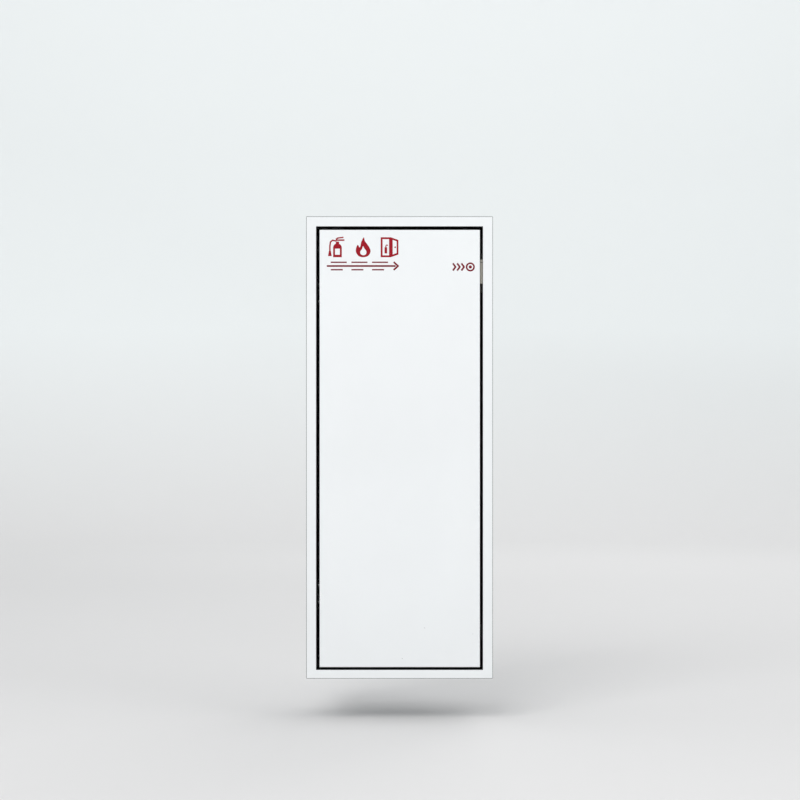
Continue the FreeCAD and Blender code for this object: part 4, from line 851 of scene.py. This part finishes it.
def add_bottle_bead():
    """The raised weld that joins the bottle's shell to its shoulder, under the paint."""
    low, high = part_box("bottle")
    centre = (low + high) / 2
    radius = (high.x - low.x) / 2
    middle = high.z - 70 * MM
    profile = [(-0.1, -3.2), (0.25, -2.4), (0.5, -1.2), (0.6, 0)]
    profile += [(0.5, 1.2), (0.25, 2.4), (-0.1, 3.2), (-0.3, 0)]
    sides, waves, wave_height = 144, 48, 0.06

    def make(work):
        rings = []
        for side in range(sides):
            turn = 2 * math.pi * side / sides
            ripple = wave_height * math.sin(turn * waves)
            ring = []
            for proud, up in profile:
                reach = radius + (proud + (ripple if proud > 0 else 0)) * MM
                across, along = reach * math.cos(turn), reach * math.sin(turn)
                ring.append(work.verts.new((centre.x + across, centre.y + along, middle + up * MM)))
            rings.append(ring)
        join_rings(work, rings, closed=True)

    new_piece("bottle_weld", make, FINISHES["bottle_paint"], "extinguisher", smooth=True)


def add_gap_shade_strip():
    """A near-black strip that lines the frame's opening all round the door: painted shade that keeps the
    gap beside the door dark.
    """
    low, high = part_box("box_wrap")
    side, end, thick = 2.75, 1.55, 0.4
    back, front = 27.5, -0.5
    left, right = low.x / MM + side, high.x / MM - side
    bottom, top = low.z / MM + end, high.z / MM - end
    shapes = inked(box_outline(left, bottom, right, top))
    shapes += bare(box_outline(left + thick, bottom + thick, right - thick, top - thick))
    print_on("gap_shade_strip", shapes, around_frame, (back, front), GAP_SHADE_STRIP, "cabinet")


# ---- the floor and the backdrop, in metres ----

FLOOR_Z = -0.0655
FLOOR_COLOUR = (0.755, 0.745, 0.742)
WALL_COLOUR = (0.86, 0.885, 0.885)
STUDIO_RADIUS = 5.2
STUDIO_CURVE = 1.5
STUDIO_HEIGHT = 2.6
STUDIO_HUB = 0.4
FLAT_STEPS = 8
CURVE_STEPS = 24
COLOUR_CHANGE = 0.75  # the height by which the floor's colour has turned into the wall's


def studio_profile():
    """The cove's section, from its middle outwards: distance and height above the floor."""
    flat = STUDIO_RADIUS - STUDIO_CURVE
    profile = [(0.0, 0.0)]
    for step in range(FLAT_STEPS + 1):
        profile.append((STUDIO_HUB + (flat - STUDIO_HUB) * step / FLAT_STEPS, 0.0))
    for step in range(1, CURVE_STEPS + 1):
        turn = math.pi / 2 * step / CURVE_STEPS
        profile.append((flat + STUDIO_CURVE * math.sin(turn), STUDIO_CURVE * (1 - math.cos(turn))))
    return profile + [(STUDIO_RADIUS, STUDIO_HEIGHT)]


def make_studio():
    """A round seamless cove: a floor that curves up into a low wall all the way round."""
    sides = 96
    work = bmesh.new()
    rings = []
    for reach, height in studio_profile():
        ring = []
        for side in range(sides):
            turn = 2 * math.pi * side / sides
            ring.append(work.verts.new((reach * math.cos(turn), reach * math.sin(turn), FLOOR_Z + height)))
        rings.append(ring)
    join_rings(work, rings)
    bmesh.ops.remove_doubles(work, verts=work.verts, dist=1e-6)
    mesh = bpy.data.meshes.new("studio_floor")
    work.to_mesh(mesh)
    work.free()
    mesh.shade_smooth()
    finish = Finish("studio_paper", WALL_COLOUR, specular_ior_level=0.1)
    height = finish.node("SeparateXYZ", {"Vector": finish.place}, "Z")
    cloudy = finish.node("Math", {0: finish.noise(0.7, 2), 1: 0.1, 2: height}, 0, operation="MULTIPLY_ADD")
    finish.colour(cloudy, FLOOR_COLOUR, WALL_COLOUR, 0.0, COLOUR_CHANGE)
    finish.rough(finish.noise(20), 0.85, 0.95)
    mesh.materials.append(finish.material)
    floor = bpy.data.objects.new("studio_floor", mesh)
    bpy.context.scene.collection.objects.link(floor)


# ---- the scene ----

make_camera()
make_world(colour=(0.965, 0.985, 1.0), strength=0.68)
make_lamp("key", place=(-1.3, -3.0, 3.2), target=(0, 0, 0.5), size=(2.6, 2.0), power=72)
make_lamp("fill", place=(2.6, -1.8, 1.8), target=(0, 0, 0.3), size=(1.8, 1.8), power=15)
make_lamp("rear", place=(1.2, 3.0, 2.6), target=(0, 0.1, 0.3), size=(2.2, 1.6), power=26)
make_lamp("wash", (0, 2.0, 3.3), (0, 5.3, 1.7), size=(4.5, 1.0), power=17, spread=math.radians(120))
make_studio()
finish_cad_nodes()
print_door()
wrap_label()
print_dial()
wind_spring("latch_spring", "cabinet", turns=7, wire_radius=0.6 * MM, upright=False)
wind_spring("valve_spring", "extinguisher", turns=6, wire_radius=0.6 * MM, upright=True)
add_specks()
add_bottle_bead()
add_weld_marks()
add_hinge_rivets()
add_edge_shadow_line()
add_gap_shade_strip()
bpy.context.scene.view_settings.view_transform = "Standard"
